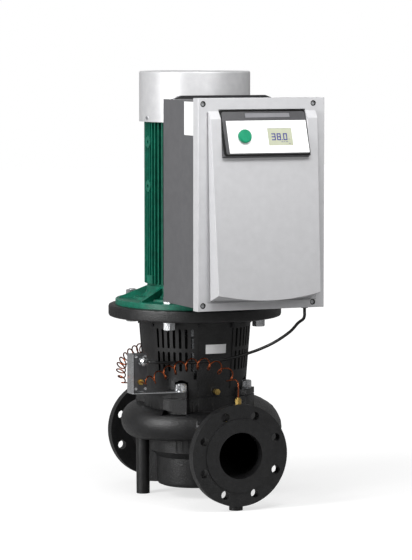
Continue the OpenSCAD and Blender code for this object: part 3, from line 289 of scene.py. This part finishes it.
# %% [markdown]
# ## Metals
# Plated steel is bright and a little cloudy, turned brass and bronze show fine rings, and
# drawn copper has darkened in patches. A ground shaft keeps hair lines round its axis, so its
# noise is squeezed along the axis. Electrical sheet is stamped and stacked, so it shows layers.

# %% Metal finishes
fine_rings = (1, 1, 6)
zinc = grained("zinc plated steel", "#E4E5E6", "#BFC1C4",
               grain=1.5, lift=0.012, rough=(0.2, 0.36), metallic=0.9)
nickel = grained("nickel plated brass", "#EDEEEF", "#CFD1D4",
                 grain=1.4, lift=0.006, rough=(0.12, 0.24), metallic=1.0)
brass = grained("turned brass", "#DCC07A", "#B8974F",
                grain=1.2, lift=0.01, rough=(0.2, 0.36), metallic=1.0, stretch=fine_rings)
copper = grained("drawn copper tube", "#A85C3A", "#5E2C1B",
                 grain=2.5, lift=0.01, rough=(0.24, 0.42), metallic=1.0)
ground_steel = grained("ground shaft steel", "#C9CCCF", "#A4A7AB",
                       grain=1.0, lift=0.006, rough=(0.2, 0.32), metallic=1.0,
                       stretch=(0.2, 0.2, 3))
black_oxide = grained("black oxide steel", "#3A3A3C", "#222223",
                      grain=1.2, lift=0.01, rough=(0.3, 0.45), metallic=0.7)
sheet_stack = grained("stacked electrical sheet", "#8F9194", "#5F6164",
                      grain=1.0, lift=0.05, rough=(0.35, 0.5), metallic=0.8,
                      stretch=(0.05, 0.05, 1))
winding_wire = grained("varnished copper wire", "#A8552B", "#6E3418",
                       grain=1.2, lift=0.12, rough=(0.3, 0.45), metallic=0.5,
                       stretch=(0.2, 0.2, 1))
bronze = grained("turned bronze", "#B08B4A", "#8C6A34",
                 grain=1.2, lift=0.01, rough=(0.3, 0.42), metallic=1.0, stretch=fine_rings)
print("materials in the file:", len(bpy.data.materials))

# %% [markdown]
# ## Seal faces, board and film
# The two faces of the shaft seal are lapped until they are nearly mirrors: white ceramic runs
# on dark carbon. The circuit board has a green lacquer with a thin clear coat, and the
# display's film is a flat grey-green.

# %% Inner and display finishes
ceramic = grained("lapped ceramic", "#E4E2D8", "#D5D2C6",
                  grain=1.5, lift=0.003, rough=(0.15, 0.25))
carbon = grained("lapped carbon", "#3D3D3F", "#2B2B2D",
                 grain=1.5, lift=0.003, rough=(0.3, 0.4))
coated_board = grained("coated circuit board", "#1F7A45", "#155A32",
                       grain=3.0, lift=0.03, rough=(0.25, 0.4), coat=0.3)
lcd_film = grained("liquid crystal film", "#B4B7A2", "#A9AD97",
                   grain=0.8, lift=0.003, rough=(0.2, 0.3))
print("materials in the file:", len(bpy.data.materials))

# %% [markdown]
# ## Dress the solids
# Each solid gets the finish of the real piece. Its own material slots are emptied first.

# %% Give every solid its finish
wearers = [
    (black_iron, "pump_casing lantern"),
    (green_enamel, "lower_end_shield stator_housing upper_end_shield converter_adapter"),
    (bare_iron, "impeller"),
    (silver_paint, "fan_cowl"),
    (powder_coat, "guard_front_left guard_front_right guard_rear_right guard_rear_left"),
    (anodised, "heat_sink"),
    (light_plastic, "converter_cover"),
    (dark_plastic, "converter_body"),
    (black_abs, "panel_frame sensor_body cable_gland"),
    (white_foil, "panel_plate lantern_plate converter_plate"),
    (green_abs, "knob"),
    (fan_plastic, "fan"),
    (sheath_pvc, "sensor_cable"),
    (black_rubber, "casing_o_ring cover_gasket seal_bellows"),
    (zinc, "casing_bolts motor_bolts motor_nuts cowl_screws cover_screws knob_stem"
           " sensor_bracket sensor_screws impeller_nut"),
    (nickel, "sensor_gland"),
    (brass, "drain_plug sensor_fittings port_fittings vent_screw"),
    (bronze, "wear_ring"),
    (copper, "capillary_front capillary_rear"),
    (ground_steel, "bearing_outer_rings bearing_balls bearing_inner_rings motor_shaft"
                   " stub_shaft"),
    (black_oxide, "guard_screws coupling_screws"),
    (sheet_stack, "stator_core rotor_core"),
    (winding_wire, "stator_winding"),
    (ceramic, "seal_seat"),
    (carbon, "seal_ring"),
    (coated_board, "circuit_board"),
    (lcd_film, "display"),
]
dressed = 0
for finish, names in wearers:
    for name in names.split():
        mesh = solids[name].data
        mesh.materials.clear()
        mesh.materials.append(finish)
        dressed += 1
print("dressed", dressed, "of", len(solids), "solids")

# %% [markdown]
# ## Putting a piece in its place
# A new piece rides on a body and may stand for a solid.
# Nothing may be selected by accident, so one helper clears the selection and picks one object.

# %% Helpers for new pieces
def only(piece):
    bpy.ops.object.select_all(action="DESELECT")
    piece.select_set(True)
    bpy.context.view_layer.objects.active = piece


def settle(piece, name, finish, body="frame", stands_for=()):
    piece.name = name
    only(piece)
    bpy.ops.object.transform_apply(location=True, rotation=True, scale=True)
    piece.data.materials.clear()
    piece.data.materials.append(finish)
    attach(piece, body)
    if stands_for:
        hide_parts(*stands_for)
    print(name, "rides on", body)
    return piece


settle(cable, "sensor_cable_sheath", sheath_pvc, stands_for=("sensor_cable",))

# %% [markdown]
# ## Rounded edges
# A moulded box has no sharp edge: its corners are rounded by one or two millimetres, and those
# roundings carry the highlights that make it look moulded. The solid is copied and its loose
# triangles are merged into whole faces. Then every edge that is sharper than 30 degrees and
# long enough for the rounding is selected and bevelled. Short edges, those of the round holes,
# stay as they are: a rounding wider than the edge is long would fold over itself.
# Weighted normals then let the large faces keep their flat shading and the roundings take
# the turn.

# %% Copy a solid as whole faces
def whole_copy(node):
    source = solids[node]
    piece = bpy.data.objects.new(node + "_rounded", source.data.copy())
    bpy.context.scene.collection.objects.link(piece)
    only(piece)
    bpy.ops.object.mode_set(mode="EDIT")
    bpy.ops.mesh.select_all(action="SELECT")
    bpy.ops.mesh.remove_doubles(threshold=0.00001)
    bpy.ops.mesh.dissolve_limited(angle_limit=math.radians(0.5))
    bpy.ops.object.mode_set(mode="OBJECT")
    return piece


# %% [markdown]
# ## Picking edges in code
# By hand one would click the edges. In code a test on the edge's two ends does the picking, and
# everything else is let go first.

# %% Round the edges that a test picks
sharp_turn = math.radians(30)
smooth_turn = math.radians(32)


def pick_edges(mesh, wanted):
    """Select the edges that pass the test, and no vertex or face, and count them."""
    for edge in mesh.edges:
        a, b = (mesh.vertices[k].co for k in edge.vertices)
        edge.select = wanted(edge, a, b)
    for part in (mesh.vertices, mesh.polygons):
        for item in part:
            item.select = False
    return sum(edge.select for edge in mesh.edges)


def bevel_picked(piece, width, segments, clamp):
    only(piece)
    bpy.ops.object.mode_set(mode="EDIT")
    bpy.ops.mesh.select_mode(type="EDGE")
    bpy.ops.mesh.bevel(offset=width / 1000.0, segments=segments, affect="EDGES",
                       clamp_overlap=clamp)
    bpy.ops.object.mode_set(mode="OBJECT")


def weigh_normals(piece):
    """Shade shallow turns smooth, and let large faces decide the shading beside them."""
    only(piece)
    bpy.ops.object.shade_smooth_by_angle(angle=smooth_turn)
    bpy.ops.object.modifier_add(type="WEIGHTED_NORMAL")
    piece.modifiers[-1].keep_sharp = True
    bpy.ops.object.modifier_apply(modifier=piece.modifiers[-1].name)
    return piece


def round_edges(piece, width, segments, chosen):
    sides_of = {}
    for face in piece.data.polygons:
        for key in face.edge_keys:
            sides_of.setdefault(key, []).append(face.normal)

    def sharp_and_chosen(edge, a, b):
        sides = sides_of[tuple(sorted(edge.vertices))]
        sharp = len(sides) == 2 and sides[0].angle(sides[1], 0.0) > sharp_turn
        return sharp and chosen(a, b)

    count = pick_edges(piece.data, sharp_and_chosen)
    bevel_picked(piece, width, segments, clamp=True)
    print(piece.name, count, "edges rounded,", len(piece.data.polygons), "faces")
    return weigh_normals(piece)


def longer_than(length):
    return lambda a, b: (a - b).length > length / 1000.0


# %% [markdown]
# ## The converter's box
# The cover is a deep moulding: a thin plate with a bulge that carries the panel. The bulge is
# rounded by about 3 mm and the plate's rim by half of that, so the two are picked apart by
# their place. The edges beside the panel's pocket stay sharp, because the lip covers them.

# %% Round the cover's bulge and its plate
bulge_front = at(0, -357.5, 0).y
pocket_half = 0.1005
pocket_foot = at(0, 0, 636).z
plate_half = 0.143
shortest_on_bulge = 0.009
shortest_on_plate = 0.1


def on_bulge(a, b):
    middle = (a + b) / 2.0
    in_front = max(a.y, b.y) < bulge_front
    beside_panel = abs(middle.x) < pocket_half and middle.z > pocket_foot
    return (a - b).length > shortest_on_bulge and in_front and not beside_panel


def on_plate(a, b):
    return (a - b).length > shortest_on_plate and max(abs(a.x), abs(b.x)) > plate_half


cover = round_edges(whole_copy("converter_cover"), width=3.2, segments=4, chosen=on_bulge)
cover = round_edges(cover, width=1.6, segments=3, chosen=on_plate)
settle(cover, "cover_moulding", light_plastic, stands_for=("converter_cover",))

# %% [markdown]
# ## The box's body and the panel's frame
# Both have small, even roundings as they leave the mould, so length alone picks their edges.

# %% Round the body and the panel's frame
box_body = round_edges(whole_copy("converter_body"), width=1.2, segments=3, chosen=longer_than(30))
settle(box_body, "body_moulding", dark_plastic, stands_for=("converter_body",))
bezel = round_edges(whole_copy("panel_frame"), width=0.7, segments=3, chosen=longer_than(9))
settle(bezel, "panel_moulding", black_abs, stands_for=("panel_frame",))

# %% [markdown]
# ## Castings with soft edges
# A casting leaves its sand mould with rounded edges and a surface that flows. The copies of the
# casing, the lantern and the motor's shield are shaded smooth where their facets meet at less
# than 32 degrees, and their long sharp edges get a rounding of about one millimetre.

# %% Soften the castings
casing = round_edges(whole_copy("pump_casing"), width=1.2, segments=2, chosen=longer_than(4))
settle(casing, "casing_casting", black_iron, stands_for=("pump_casing",))
lantern = round_edges(whole_copy("lantern"), width=1.2, segments=2, chosen=longer_than(6))
settle(lantern, "lantern_casting", black_iron, stands_for=("lantern",))
shield = round_edges(whole_copy("lower_end_shield"), width=1.0, segments=2, chosen=longer_than(5))
settle(shield, "shield_casting", green_enamel, stands_for=("lower_end_shield",))

# %% [markdown]
# ## The capillary tubes
# Two thin copper tubes bring the pressure of both ports to the sensor. The fitter winds each
# into a loose coil, so that it gives when the pump shakes. The middle line of the coil is a
# smooth line, and the tube circles it once per 25 mm or so. The circles lean along the line,
# as hand-wound turns do, and the first ones are tighter than the rest.

# %% Wind a tube round a line
steps_per_turn = 24
lean = 0.5
first_size = 0.6
growth = 2.0
look_ahead = 0.05


def coil(points, radius, turns):
    last = len(points) - 1
    steps = turns * steps_per_turn
    line = []
    for i in range(steps + 1):
        u = last * i / steps
        ahead = line_at(points, min(u + look_ahead, last))
        along = (ahead - line_at(points, max(u - look_ahead, 0))).normalized()
        across = Vector((0, 0, 1)).cross(along).normalized()
        up = along.cross(across)
        leaning = (across + lean * along).normalized()
        turn = 2 * math.pi * i / steps_per_turn
        grown = min(1.0, first_size + growth * i / steps)
        spoke = math.cos(turn) * up + math.sin(turn) * leaning
        line.append(line_at(points, u) - radius * grown * spoke)
    return line


# %% [markdown]
# ## Where the tubes run
# The front tube arches over to the port in the front flange's rim. The rear one starts at the
# back of the sensor and goes round the lantern to the rear flange's rim. Each ends in a
# straight piece that goes down into its fitting.

# %% Lay both capillary tubes
tube_radius = 1.5
front_middle = [(-164, -113, 154), (-145.5, -118, 157.5), (-126, -126, 168.5), (-106, -135, 179),
                (-83.5, -145, 187), (-60.5, -157, 191), (-38, -170, 189), (-17.5, -184, 180),
                (-3.5, -200, 165)]
front_start = [(-166, -98.3, 149), (-166, -103, 149)]
front_end = [(-2, -221, 160.5), (0.5, -231, 157), (0, -236.5, 149), (0, -236.5, 124.3)]
rear_middle = [(-190, -44, 147), (-188, -34, 161), (-184, -22, 175), (-172, -6, 186),
               (-151, 18, 194), (-122, 58, 198), (-82, 122, 196), (-55, 165, 188),
               (-34, 194, 176)]
rear_start = [(-166, -51.7, 149), (-167, -47, 149), (-175, -44, 143)]
rear_end = [(-22, 215, 160), (-8, 232, 150), (0, 236.5, 142), (0, 236.5, 124.3)]

front_points = front_start + coil(front_middle, radius=12, turns=8) + front_end
rear_points = rear_start + coil(rear_middle, radius=11, turns=10) + rear_end
tubes = {"capillary_front": smooth_line(front_points, 800),
         "capillary_rear": smooth_line(rear_points, 1000)}
for node, line in tubes.items():
    tube = swept(node + "_coil", line, tube_radius)
    settle(tube, node + "_coil", copper, stands_for=(node,))
    print(node, "is", round(length_of(line), 3), "m long")

# %% [markdown]
# ## Shaping small pieces
# Screws and nuts start as a round or six-sided bar and are then cut like on a lathe or a mill.
# The bar is a primitive with its ends at two heights. A second bar is taken away from it,
# kept in common with it or joined to it by a boolean modifier that is applied at once.

# %% Bars and cuts
def bar(corners, radius, low, high, top_radius=None):
    """Add a bar round the upright axis, or a cone if its top has a radius of its own."""
    top = radius if top_radius is None else top_radius
    bpy.ops.mesh.primitive_cone_add(
        vertices=corners, radius1=radius / 1000.0, radius2=top / 1000.0,
        depth=(high - low) / 1000.0, location=(0, 0, (low + high) / 2000.0),
        rotation=(0, 0, math.pi / 6))
    piece = bpy.context.object
    only(piece)
    bpy.ops.object.transform_apply(location=True, rotation=True)
    return piece


def combine(piece, tool, operation):
    """Cut, join or keep in common. The tool is used up."""
    only(piece)
    bpy.ops.object.modifier_add(type="BOOLEAN")
    step = piece.modifiers[-1]
    step.operation = operation
    step.solver = "EXACT"
    step.object = tool
    bpy.ops.object.modifier_apply(modifier=step.name)
    bpy.data.objects.remove(tool)
    return piece


# %% [markdown]
# ## Soft edges, groups and rings
# A small turned or moulded edge gets its rounding from a bevel modifier that takes every edge
# sharper than 40 degrees. Pieces that belong together are joined, and what repeats is made
# once and copied, each copy with its own mesh, to places on a ring round the shaft.

# %% Soften, join and repeat
def smoothed(piece, degrees=30):
    only(piece)
    bpy.ops.object.shade_smooth_by_angle(angle=math.radians(degrees))
    return piece


def soften(piece, width, segments=2):
    only(piece)
    bpy.ops.object.modifier_add(type="BEVEL")
    step = piece.modifiers[-1]
    step.width = width / 1000.0
    step.segments = segments
    step.limit_method = "ANGLE"
    step.angle_limit = math.radians(40)
    bpy.ops.object.modifier_apply(modifier=step.name)
    return smoothed(piece)


def joined(pieces):
    only(pieces[0])
    for piece in pieces[1:]:
        piece.select_set(True)
    bpy.ops.object.join()
    return pieces[0]


def repeat(piece, places, name):
    copies = []
    for place in places:
        twin = bpy.data.objects.new(name, piece.data.copy())
        bpy.context.scene.collection.objects.link(twin)
        twin.matrix_world = place
        copies.append(twin)
    bpy.data.objects.remove(piece)
    return joined(copies)


def on_ring(turn, radius, z):
    """Place something on a ring round the shaft, turned outwards."""
    return (Matrix.Translation(at(0, 0, 0)) @ Matrix.Rotation(math.radians(turn), 4, "Z")
            @ Matrix.Translation(Vector((0, -radius, z)) / 1000.0))


# %% [markdown]
# ## Motor bolts and nuts
# Four M16 hexagon bolts hold the motor on the lantern. A rolled head has its corners turned off
# at 30 degrees, which leaves a bright arc on each flat. The six-sided bar is kept in common
# with a cone to get that arc. The heads hang under the lantern's flange with a washer between,
# so the chamfer is on their lower end. The nuts stand on the motor's flange.

# %% A hexagon with a chamfer
chamfer_slope = math.radians(30)
tip_share = 0.87


def hexagon(corner, low, high, chamfer):
    """Add a six-sided bar whose corners are turned off at its top or its bottom."""
    tip = tip_share * corner
    wide = tip + (high - low + 2) / math.tan(chamfer_slope)
    if chamfer == "top":
        cone = bar(64, wide, low - 2, high, top_radius=tip)
    else:
        cone = bar(64, tip, low, high + 2, top_radius=wide)
    return combine(bar(6, corner, low, high), cone, "INTERSECT")


# %% [markdown]
# ## One bolt, one nut, four of each
# Sizes are those of M16: 24 mm across the flats, which is 13.9 mm from the middle to a corner.
# A turned collar, the bearing face, joins the head to its washer. The nut's hole is a little
# wider than the shank, because neither has a thread.

# %% Hexagon bolts and nuts
corner = 13.9
shank_radius = 7.95
hole_radius = 8.05
washer_radius = 15
head_foot, head_face = 260.7, 276.7
bearing_radius = 12.2
bearing_foot, bearing_top = 275.6, 277.7
washer_face = 279.7
shank_foot, shank_end = 274.7, 333.5
shank_chamfer = 1.2
nut_foot, nut_top = 318.5, 331.5
drill_foot, drill_top = 310, 340
first_bolt, bolt_ring = 45, 150
motor_places = [on_ring(first_bolt + 90 * k, bolt_ring, 0) for k in range(4)]

head = hexagon(corner, head_foot, head_face, "bottom")
head = combine(head, bar(64, bearing_radius, bearing_foot, bearing_top), "UNION")
washer = soften(bar(64, washer_radius, head_face, washer_face), 0.5)
shank = soften(bar(48, shank_radius, shank_foot, shank_end), shank_chamfer, segments=1)
bolt = smoothed(joined([head, washer, shank]))
bolts = repeat(bolt, motor_places, "hexagon_bolts")
settle(bolts, "hexagon_bolts", zinc, stands_for=("motor_bolts",))

nut = hexagon(corner, nut_foot, nut_top, "top")
nut = smoothed(combine(nut, bar(48, hole_radius, drill_foot, drill_top), "DIFFERENCE"))
nuts = repeat(nut, motor_places, "hexagon_nuts")
settle(nuts, "hexagon_nuts", zinc, stands_for=("motor_nuts",))

# %% [markdown]
# ## Casing screws
# Four M16 socket head cap screws join lantern and casing. Their heads are knurled and have a
# hexagon socket. The knurl comes from pulling every second edge of a many-sided bar inwards.
# A thin turned collar above and below it keeps the ends of the head smooth.

# %% The knurled ring of a cap screw
knurl_corners = 96
cap_radius = 12
knurl_foot, knurl_top = 1.4, 13.6
groove_share = 0.95

knurl = bar(knurl_corners, cap_radius, knurl_foot, knurl_top)
for vertex in knurl.data.vertices:
    turn = math.atan2(vertex.co.y, vertex.co.x) - math.pi / 6
    vertex.select = round(turn / (2 * math.pi / knurl_corners)) % 2 == 0
for edge in knurl.data.edges:
    edge.select = all(knurl.data.vertices[k].select for k in edge.vertices)
for face in knurl.data.polygons:
    face.select = False
only(knurl)
bpy.ops.object.mode_set(mode="EDIT")
bpy.ops.mesh.select_mode(type="VERT")
bpy.ops.transform.resize(value=(groove_share, groove_share, 1.0), center_override=(0, 0, 0))
bpy.ops.object.mode_set(mode="OBJECT")
print("knurl with", knurl_corners // 2, "ribs")

# %% [markdown]
# ## The whole cap screw
# The socket is 14 mm across its flats and half as deep as the head. One of the four screws
# also holds the sensor's bracket, so its head stands 1.5 mm higher, by the strip's thickness.

# %% Socket head cap screws
head_top = 16
foot_radius, foot_high = 11.5, 2
rim_radius, rim_foot = 11.4, 13
socket_corner = 8
thread_end = -38
bracket_strip = 1.5
first_lug = -37.9
lug_ring = 116.4
lug_face = 123

cap = combine(knurl, bar(64, foot_radius, 0, foot_high), "UNION")
cap = combine(cap, soften(bar(64, rim_radius, rim_foot, head_top), 0.8), "UNION")
cap = combine(cap, bar(6, socket_corner, head_top / 2, head_top + 2), "DIFFERENCE")
shank = soften(bar(48, shank_radius, thread_end, 1), shank_chamfer, segments=1)
cap = smoothed(joined([cap, shank]), degrees=20)
heights = [lug_face + bracket_strip, lug_face, lug_face, lug_face]
lug_places = [on_ring(first_lug + 90 * k, lug_ring, z) for k, z in enumerate(heights)]
caps = repeat(cap, lug_places, "cap_screws")
settle(caps, "cap_screws", zinc, stands_for=("casing_bolts",))

# %% [markdown]
# ## The control panel
# The panel leans out by 18.6 degrees. Everything on it is drawn flat, from the middle of its
# upper edge to the right and downwards, and then set on the slope by one matrix.
# Every flat piece is a slab: a cube at its size whose four edges from front to back are
# rounded, which gives the round corners of moulded strips and lips.

# %% A slab on the panel
panel_edge = at(0, -353, 740.1)
panel_slope = math.radians(-18.6)
panel = Matrix.Translation(panel_edge) @ Matrix.Rotation(panel_slope, 4, "X")


def slab(across, down, front, back, corner):
    """Add a plate from its extent across and down, its front and back, and its corner."""
    size = (across[1] - across[0], back - front, down[1] - down[0])
    middle = ((across[0] + across[1]) / 2, (front + back) / 2, -(down[0] + down[1]) / 2)
    bpy.ops.mesh.primitive_cube_add(size=1.0)
    piece = bpy.context.object
    piece.scale = Vector(size) / 1000.0
    piece.location = Vector(middle) / 1000.0
    only(piece)
    bpy.ops.object.transform_apply(location=True, scale=True)
    pick_edges(piece.data, lambda edge, a, b: abs(a.y - b.y) > 1e-6)
    bevel_picked(piece, corner, 4 if corner > 0.8 else 1, clamp=False)
    return piece


# %% [markdown]
# ## The strip and the lip
# A smoked strip covers the lamps above the plate. A black silicone lip with round corners
# seals the panel's edge: one slab less a smaller one, with its edges softened.

# %% Smoked strip and panel lip
smoked = grained("smoked window plastic", "#7E7E81", "#727276",
                 grain=1.2, lift=0.004, rough=(0.16, 0.26), coat=0.4)
lip_rubber = grained("black silicone lip", "#0B0B0B", "#060606",
                     grain=1.6, lift=0.02, rough=(0.5, 0.65), mirror=0.15)

strip = slab(across=(-39.7, 61.7), down=(7.3, 17.7), front=0.1, back=1.0, corner=1.2)
strip.matrix_world = panel
settle(strip, "lamp_strip", smoked)

outside = slab(across=(-98.4, 98.4), down=(0.1, 100.1), front=-1.0, back=3.0, corner=7.0)
inside = slab(across=(-92.6, 97.3), down=(4.2, 96.4), front=-3.0, back=5.0, corner=5.0)
lip = soften(combine(outside, inside, "DIFFERENCE"), 0.6)
lip.matrix_world = panel
settle(lip, "panel_seal", lip_rubber)

# %% [markdown]
# ## The display's digits
# The display shows a value in seven-segment digits, dark blue on a grey-green film. The seven
# bars of a digit are named a to g, clockwise from the top with g in the middle, and each sign
# is a choice of bars. The decimal point and a few short dashes beside the digits are small
# bars too.

# %% Seven-segment digits
bars_of = {"3": "abgcd", "8": "abcdefg", "0": "abcdef"}
digit_wide, digit_high, bar_wide = 9, 15, 2.3
digit_top = 52
digit_lefts = {"3": 14.5, "8": 26.5, "0": 41}


def segment(across, down):
    return slab(across, down, front=0.05, back=0.19, corner=0.3)


def digit(sign, left):
    right, low = left + digit_wide, digit_top + digit_high
    half = digit_top + digit_high / 2
    upper, lower = (digit_top, half), (half, low)
    at_left, at_right = (left, left + bar_wide), (right - bar_wide, right)
    middle = (digit_top + (digit_high - bar_wide) / 2, digit_top + (digit_high + bar_wide) / 2)
    ends = {"a": ((left, right), (digit_top, digit_top + bar_wide)),
            "b": (at_right, upper), "c": (at_right, lower),
            "d": ((left, right), (low - bar_wide, low)),
            "e": (at_left, lower), "f": (at_left, upper),
            "g": ((left, right), middle)}
    return [segment(*ends[name]) for name in bars_of[sign]]


ink = grained("dark blue display segment", "#2E2E86", "#26267A",
              grain=0.6, lift=0.002, rough=(0.4, 0.5))
point_and_dashes = [((37.2, 39.2), (65, 67)), ((35, 40), (70, 71)), ((41.5, 44), (70, 71)),
                    ((46, 51), (70, 71)), ((52, 56), (64.5, 65.3)), ((52, 56), (74, 74.8))]
marks = []
for sign, left in digit_lefts.items():
    marks += digit(sign, left)
marks += [segment(across, down) for across, down in point_and_dashes]
digits = joined(marks)
digits.matrix_world = panel
settle(digits, "display_digits", ink)
print(len(marks), "bars on the display")

# %% [markdown]
# ## The knob
# The knob's grip already has its shape in the solid. As a moulded piece it only needs smooth
# shading over its facets, so a copy gets weighted normals and rides on the knob's own body.

# %% Shade the knob
knob = weigh_normals(whole_copy("knob"))
settle(knob, "knob_moulding", green_abs, body="knob", stands_for=("knob",))

# %% [markdown]
# ## Recessed cover screws
# Each screw of the cover sits at the bottom of a round recess. A black ring is painted shade:
# it darkens the recess round the bright head, where the shade falls. It is turned like a screw,
# upright, and then laid over so that it looks to the front.

# %% Rings of painted shade in the recesses
shade_ring_radius, shade_ring_high = 6.1, 5.6
mouth_radius = 3.8
head_room_radius, head_room_high = 4.75, 4.15
recess_bottom = -348.05
# A black ring of painted shade, where the recess falls dark round the screw's head.
shade_ring = bar(48, shade_ring_radius, 0, shade_ring_high)
shade_ring = combine(shade_ring, bar(48, mouth_radius, -1, 7), "DIFFERENCE")
shade_ring = combine(shade_ring, bar(48, head_room_radius, -1, head_room_high), "DIFFERENCE")
shade_ring = soften(shade_ring, 0.3)
to_front = Matrix.Rotation(math.radians(90), 4, "X")
recesses = [Matrix.Translation(at(x, recess_bottom, z)) @ to_front
            for x in (-133, 118) for z in (335.0, 752.4)]
shade_rings = repeat(shade_ring, recesses, "recess_shade_rings")
settle(shade_rings, "recess_shade_rings", black_rubber)

# %% [markdown]
# ## The cowl's seam
# The cowl is a rolled sheet whose two ends overlap on the left, so the seam is a small step.
# The overlap is a thin ring of the cowl's size. Two bisections through the
# shaft's axis leave the stretch from the seam round to the rear.

# %% The overlapping end of the sheet
lap_outside, lap_inside = 121.9, 121.55
lap_height = 106.6
cowl_foot = 706.8
seam_turn, rear_turn = 48.8, 128


def bisect(piece, normal):
    """Keep the half of a piece on the side that the normal points to."""
    only(piece)
    bpy.ops.object.mode_set(mode="EDIT")
    bpy.ops.mesh.select_all(action="SELECT")
    bpy.ops.mesh.bisect(plane_co=(0, 0, 0), plane_no=normal, use_fill=True, clear_inner=True)
    bpy.ops.object.mode_set(mode="OBJECT")


def round_the_shaft(degrees):
    turn = math.radians(degrees)
    return Vector((-math.cos(turn), math.sin(turn), 0))


lap = combine(bar(192, lap_outside, 0, lap_height), bar(192, lap_inside, -1, lap_height + 1),
              "DIFFERENCE")
bisect(lap, round_the_shaft(seam_turn))
bisect(lap, -round_the_shaft(rear_turn))
smoothed(lap)
lap.matrix_world = Matrix.Translation(at(0, 0, cowl_foot))
settle(lap, "cowl_lap", silver_paint)

# %% [markdown]
# ## The floor
# The pump stands on a plain pale floor that takes its shadow. A white floor under soft lamps
# turns grey in the distance, so this one also glows for the camera alone, more with distance
# from the pump, and meets the white background without an edge. The other rays see a matt
# grey floor, which keeps its bounce from washing out the dark castings.

# %% Lay the floor
feet = -0.1202
bpy.context.scene.view_settings.view_transform = "Standard"
bpy.ops.mesh.primitive_plane_add(size=30.0, location=(0, 0, feet))
floor = bpy.context.object
floor.name = "studio_floor"
pale = bpy.data.materials.new("pale studio floor")
pale.use_nodes = True
tree = pale.node_tree
matt = tree.nodes["Principled BSDF"]
matt.inputs["Base Color"].default_value = linear("#A8A8A8")
matt.inputs["Roughness"].default_value = 0.9
matt.inputs["Specular IOR Level"].default_value = 0.1
ray = add_node(tree, "ShaderNodeLightPath")
spot = add_node(tree, "ShaderNodeTexCoord")
away = add_node(tree, "ShaderNodeVectorMath", {0: spot.outputs["Object"]}, operation="LENGTH")
fade = add_node(tree, "ShaderNodeMapRange", {
    "Value": away.outputs["Value"], "From Min": 0.3, "From Max": 2.5,
    "To Min": 0.66, "To Max": 0.95})
glow = add_node(tree, "ShaderNodeMath", {
    0: fade.outputs["Result"], 1: ray.outputs["Is Camera Ray"]}, operation="MULTIPLY")
shine = add_node(tree, "ShaderNodeEmission", {"Strength": glow.outputs["Value"]})
both = add_node(tree, "ShaderNodeAddShader", {
    0: matt.outputs["BSDF"], 1: shine.outputs["Emission"]})
tree.links.new(both.outputs["Shader"], tree.nodes["Material Output"].inputs["Surface"])
floor.data.materials.append(pale)
print("floor at", feet, "m")

# %% [markdown]
# ## The world
# Seen by the camera, the world is white. As a light from all sides it is only 0.3 strong,
# because the dark castings need most of their light from the lamps to keep their form.

# %% White behind, dim all round
world = bpy.data.worlds.new("studio")
bpy.context.scene.world = world
world.use_nodes = True
tree = world.node_tree
tree.nodes.clear()
ray = add_node(tree, "ShaderNodeLightPath")
seen = add_node(tree, "ShaderNodeMath", {
    0: ray.outputs["Is Camera Ray"], 1: ray.outputs["Is Transmission Ray"]},
    operation="MAXIMUM")
strength = add_node(tree, "ShaderNodeMapRange", {
    "Value": seen.outputs["Value"], "To Min": 0.3, "To Max": 1.0})
backdrop = add_node(tree, "ShaderNodeBackground", {
    "Color": (1.0, 1.0, 1.0, 1.0), "Strength": strength.outputs["Result"]})
add_node(tree, "ShaderNodeOutputWorld", {"Surface": backdrop.outputs["Background"]})
print("world ready")

# %% [markdown]
# ## The lamps
# A tall panel on the left is the main light and draws the bright lines on the castings' left
# sides. A panel in front and a small one above the converter's box light the cover, brighter
# at its top than at its foot. A weak one overhead lights the cowl's top and the flanges.

# %% Soft panels
def soft_panel(name, place, target, size, power):
    """Add a rectangular lamp of a size in metres and a power in watts, aimed at a target."""
    bpy.ops.object.light_add(type="AREA", location=place)
    lamp = bpy.context.object
    lamp.name = name
    lamp.data.shape = "RECTANGLE"
    lamp.data.size = size[0]
    lamp.data.size_y = size[1]
    lamp.data.energy = power
    aim = Vector(target) - Vector(place)
    lamp.rotation_euler = aim.to_track_quat("-Z", "Y").to_euler()
    print(name, power, "W")


pump_middle = (0, 0.2, 0.3)
soft_panel("left_panel", (-2.6, -0.4, 1.3), pump_middle, size=(0.8, 2.2), power=84)
soft_panel("front_panel", (0.35, -3.0, 1.6), (0, 0, 0.6), size=(1.1, 0.6), power=12)
soft_panel("upper_panel", (-0.1, -0.8, 1.45), (0, -0.1, 0.72), size=(0.9, 0.3), power=14)
soft_panel("top_panel", (0.0, 0.4, 2.8), pump_middle, size=(1.6, 1.6), power=7)
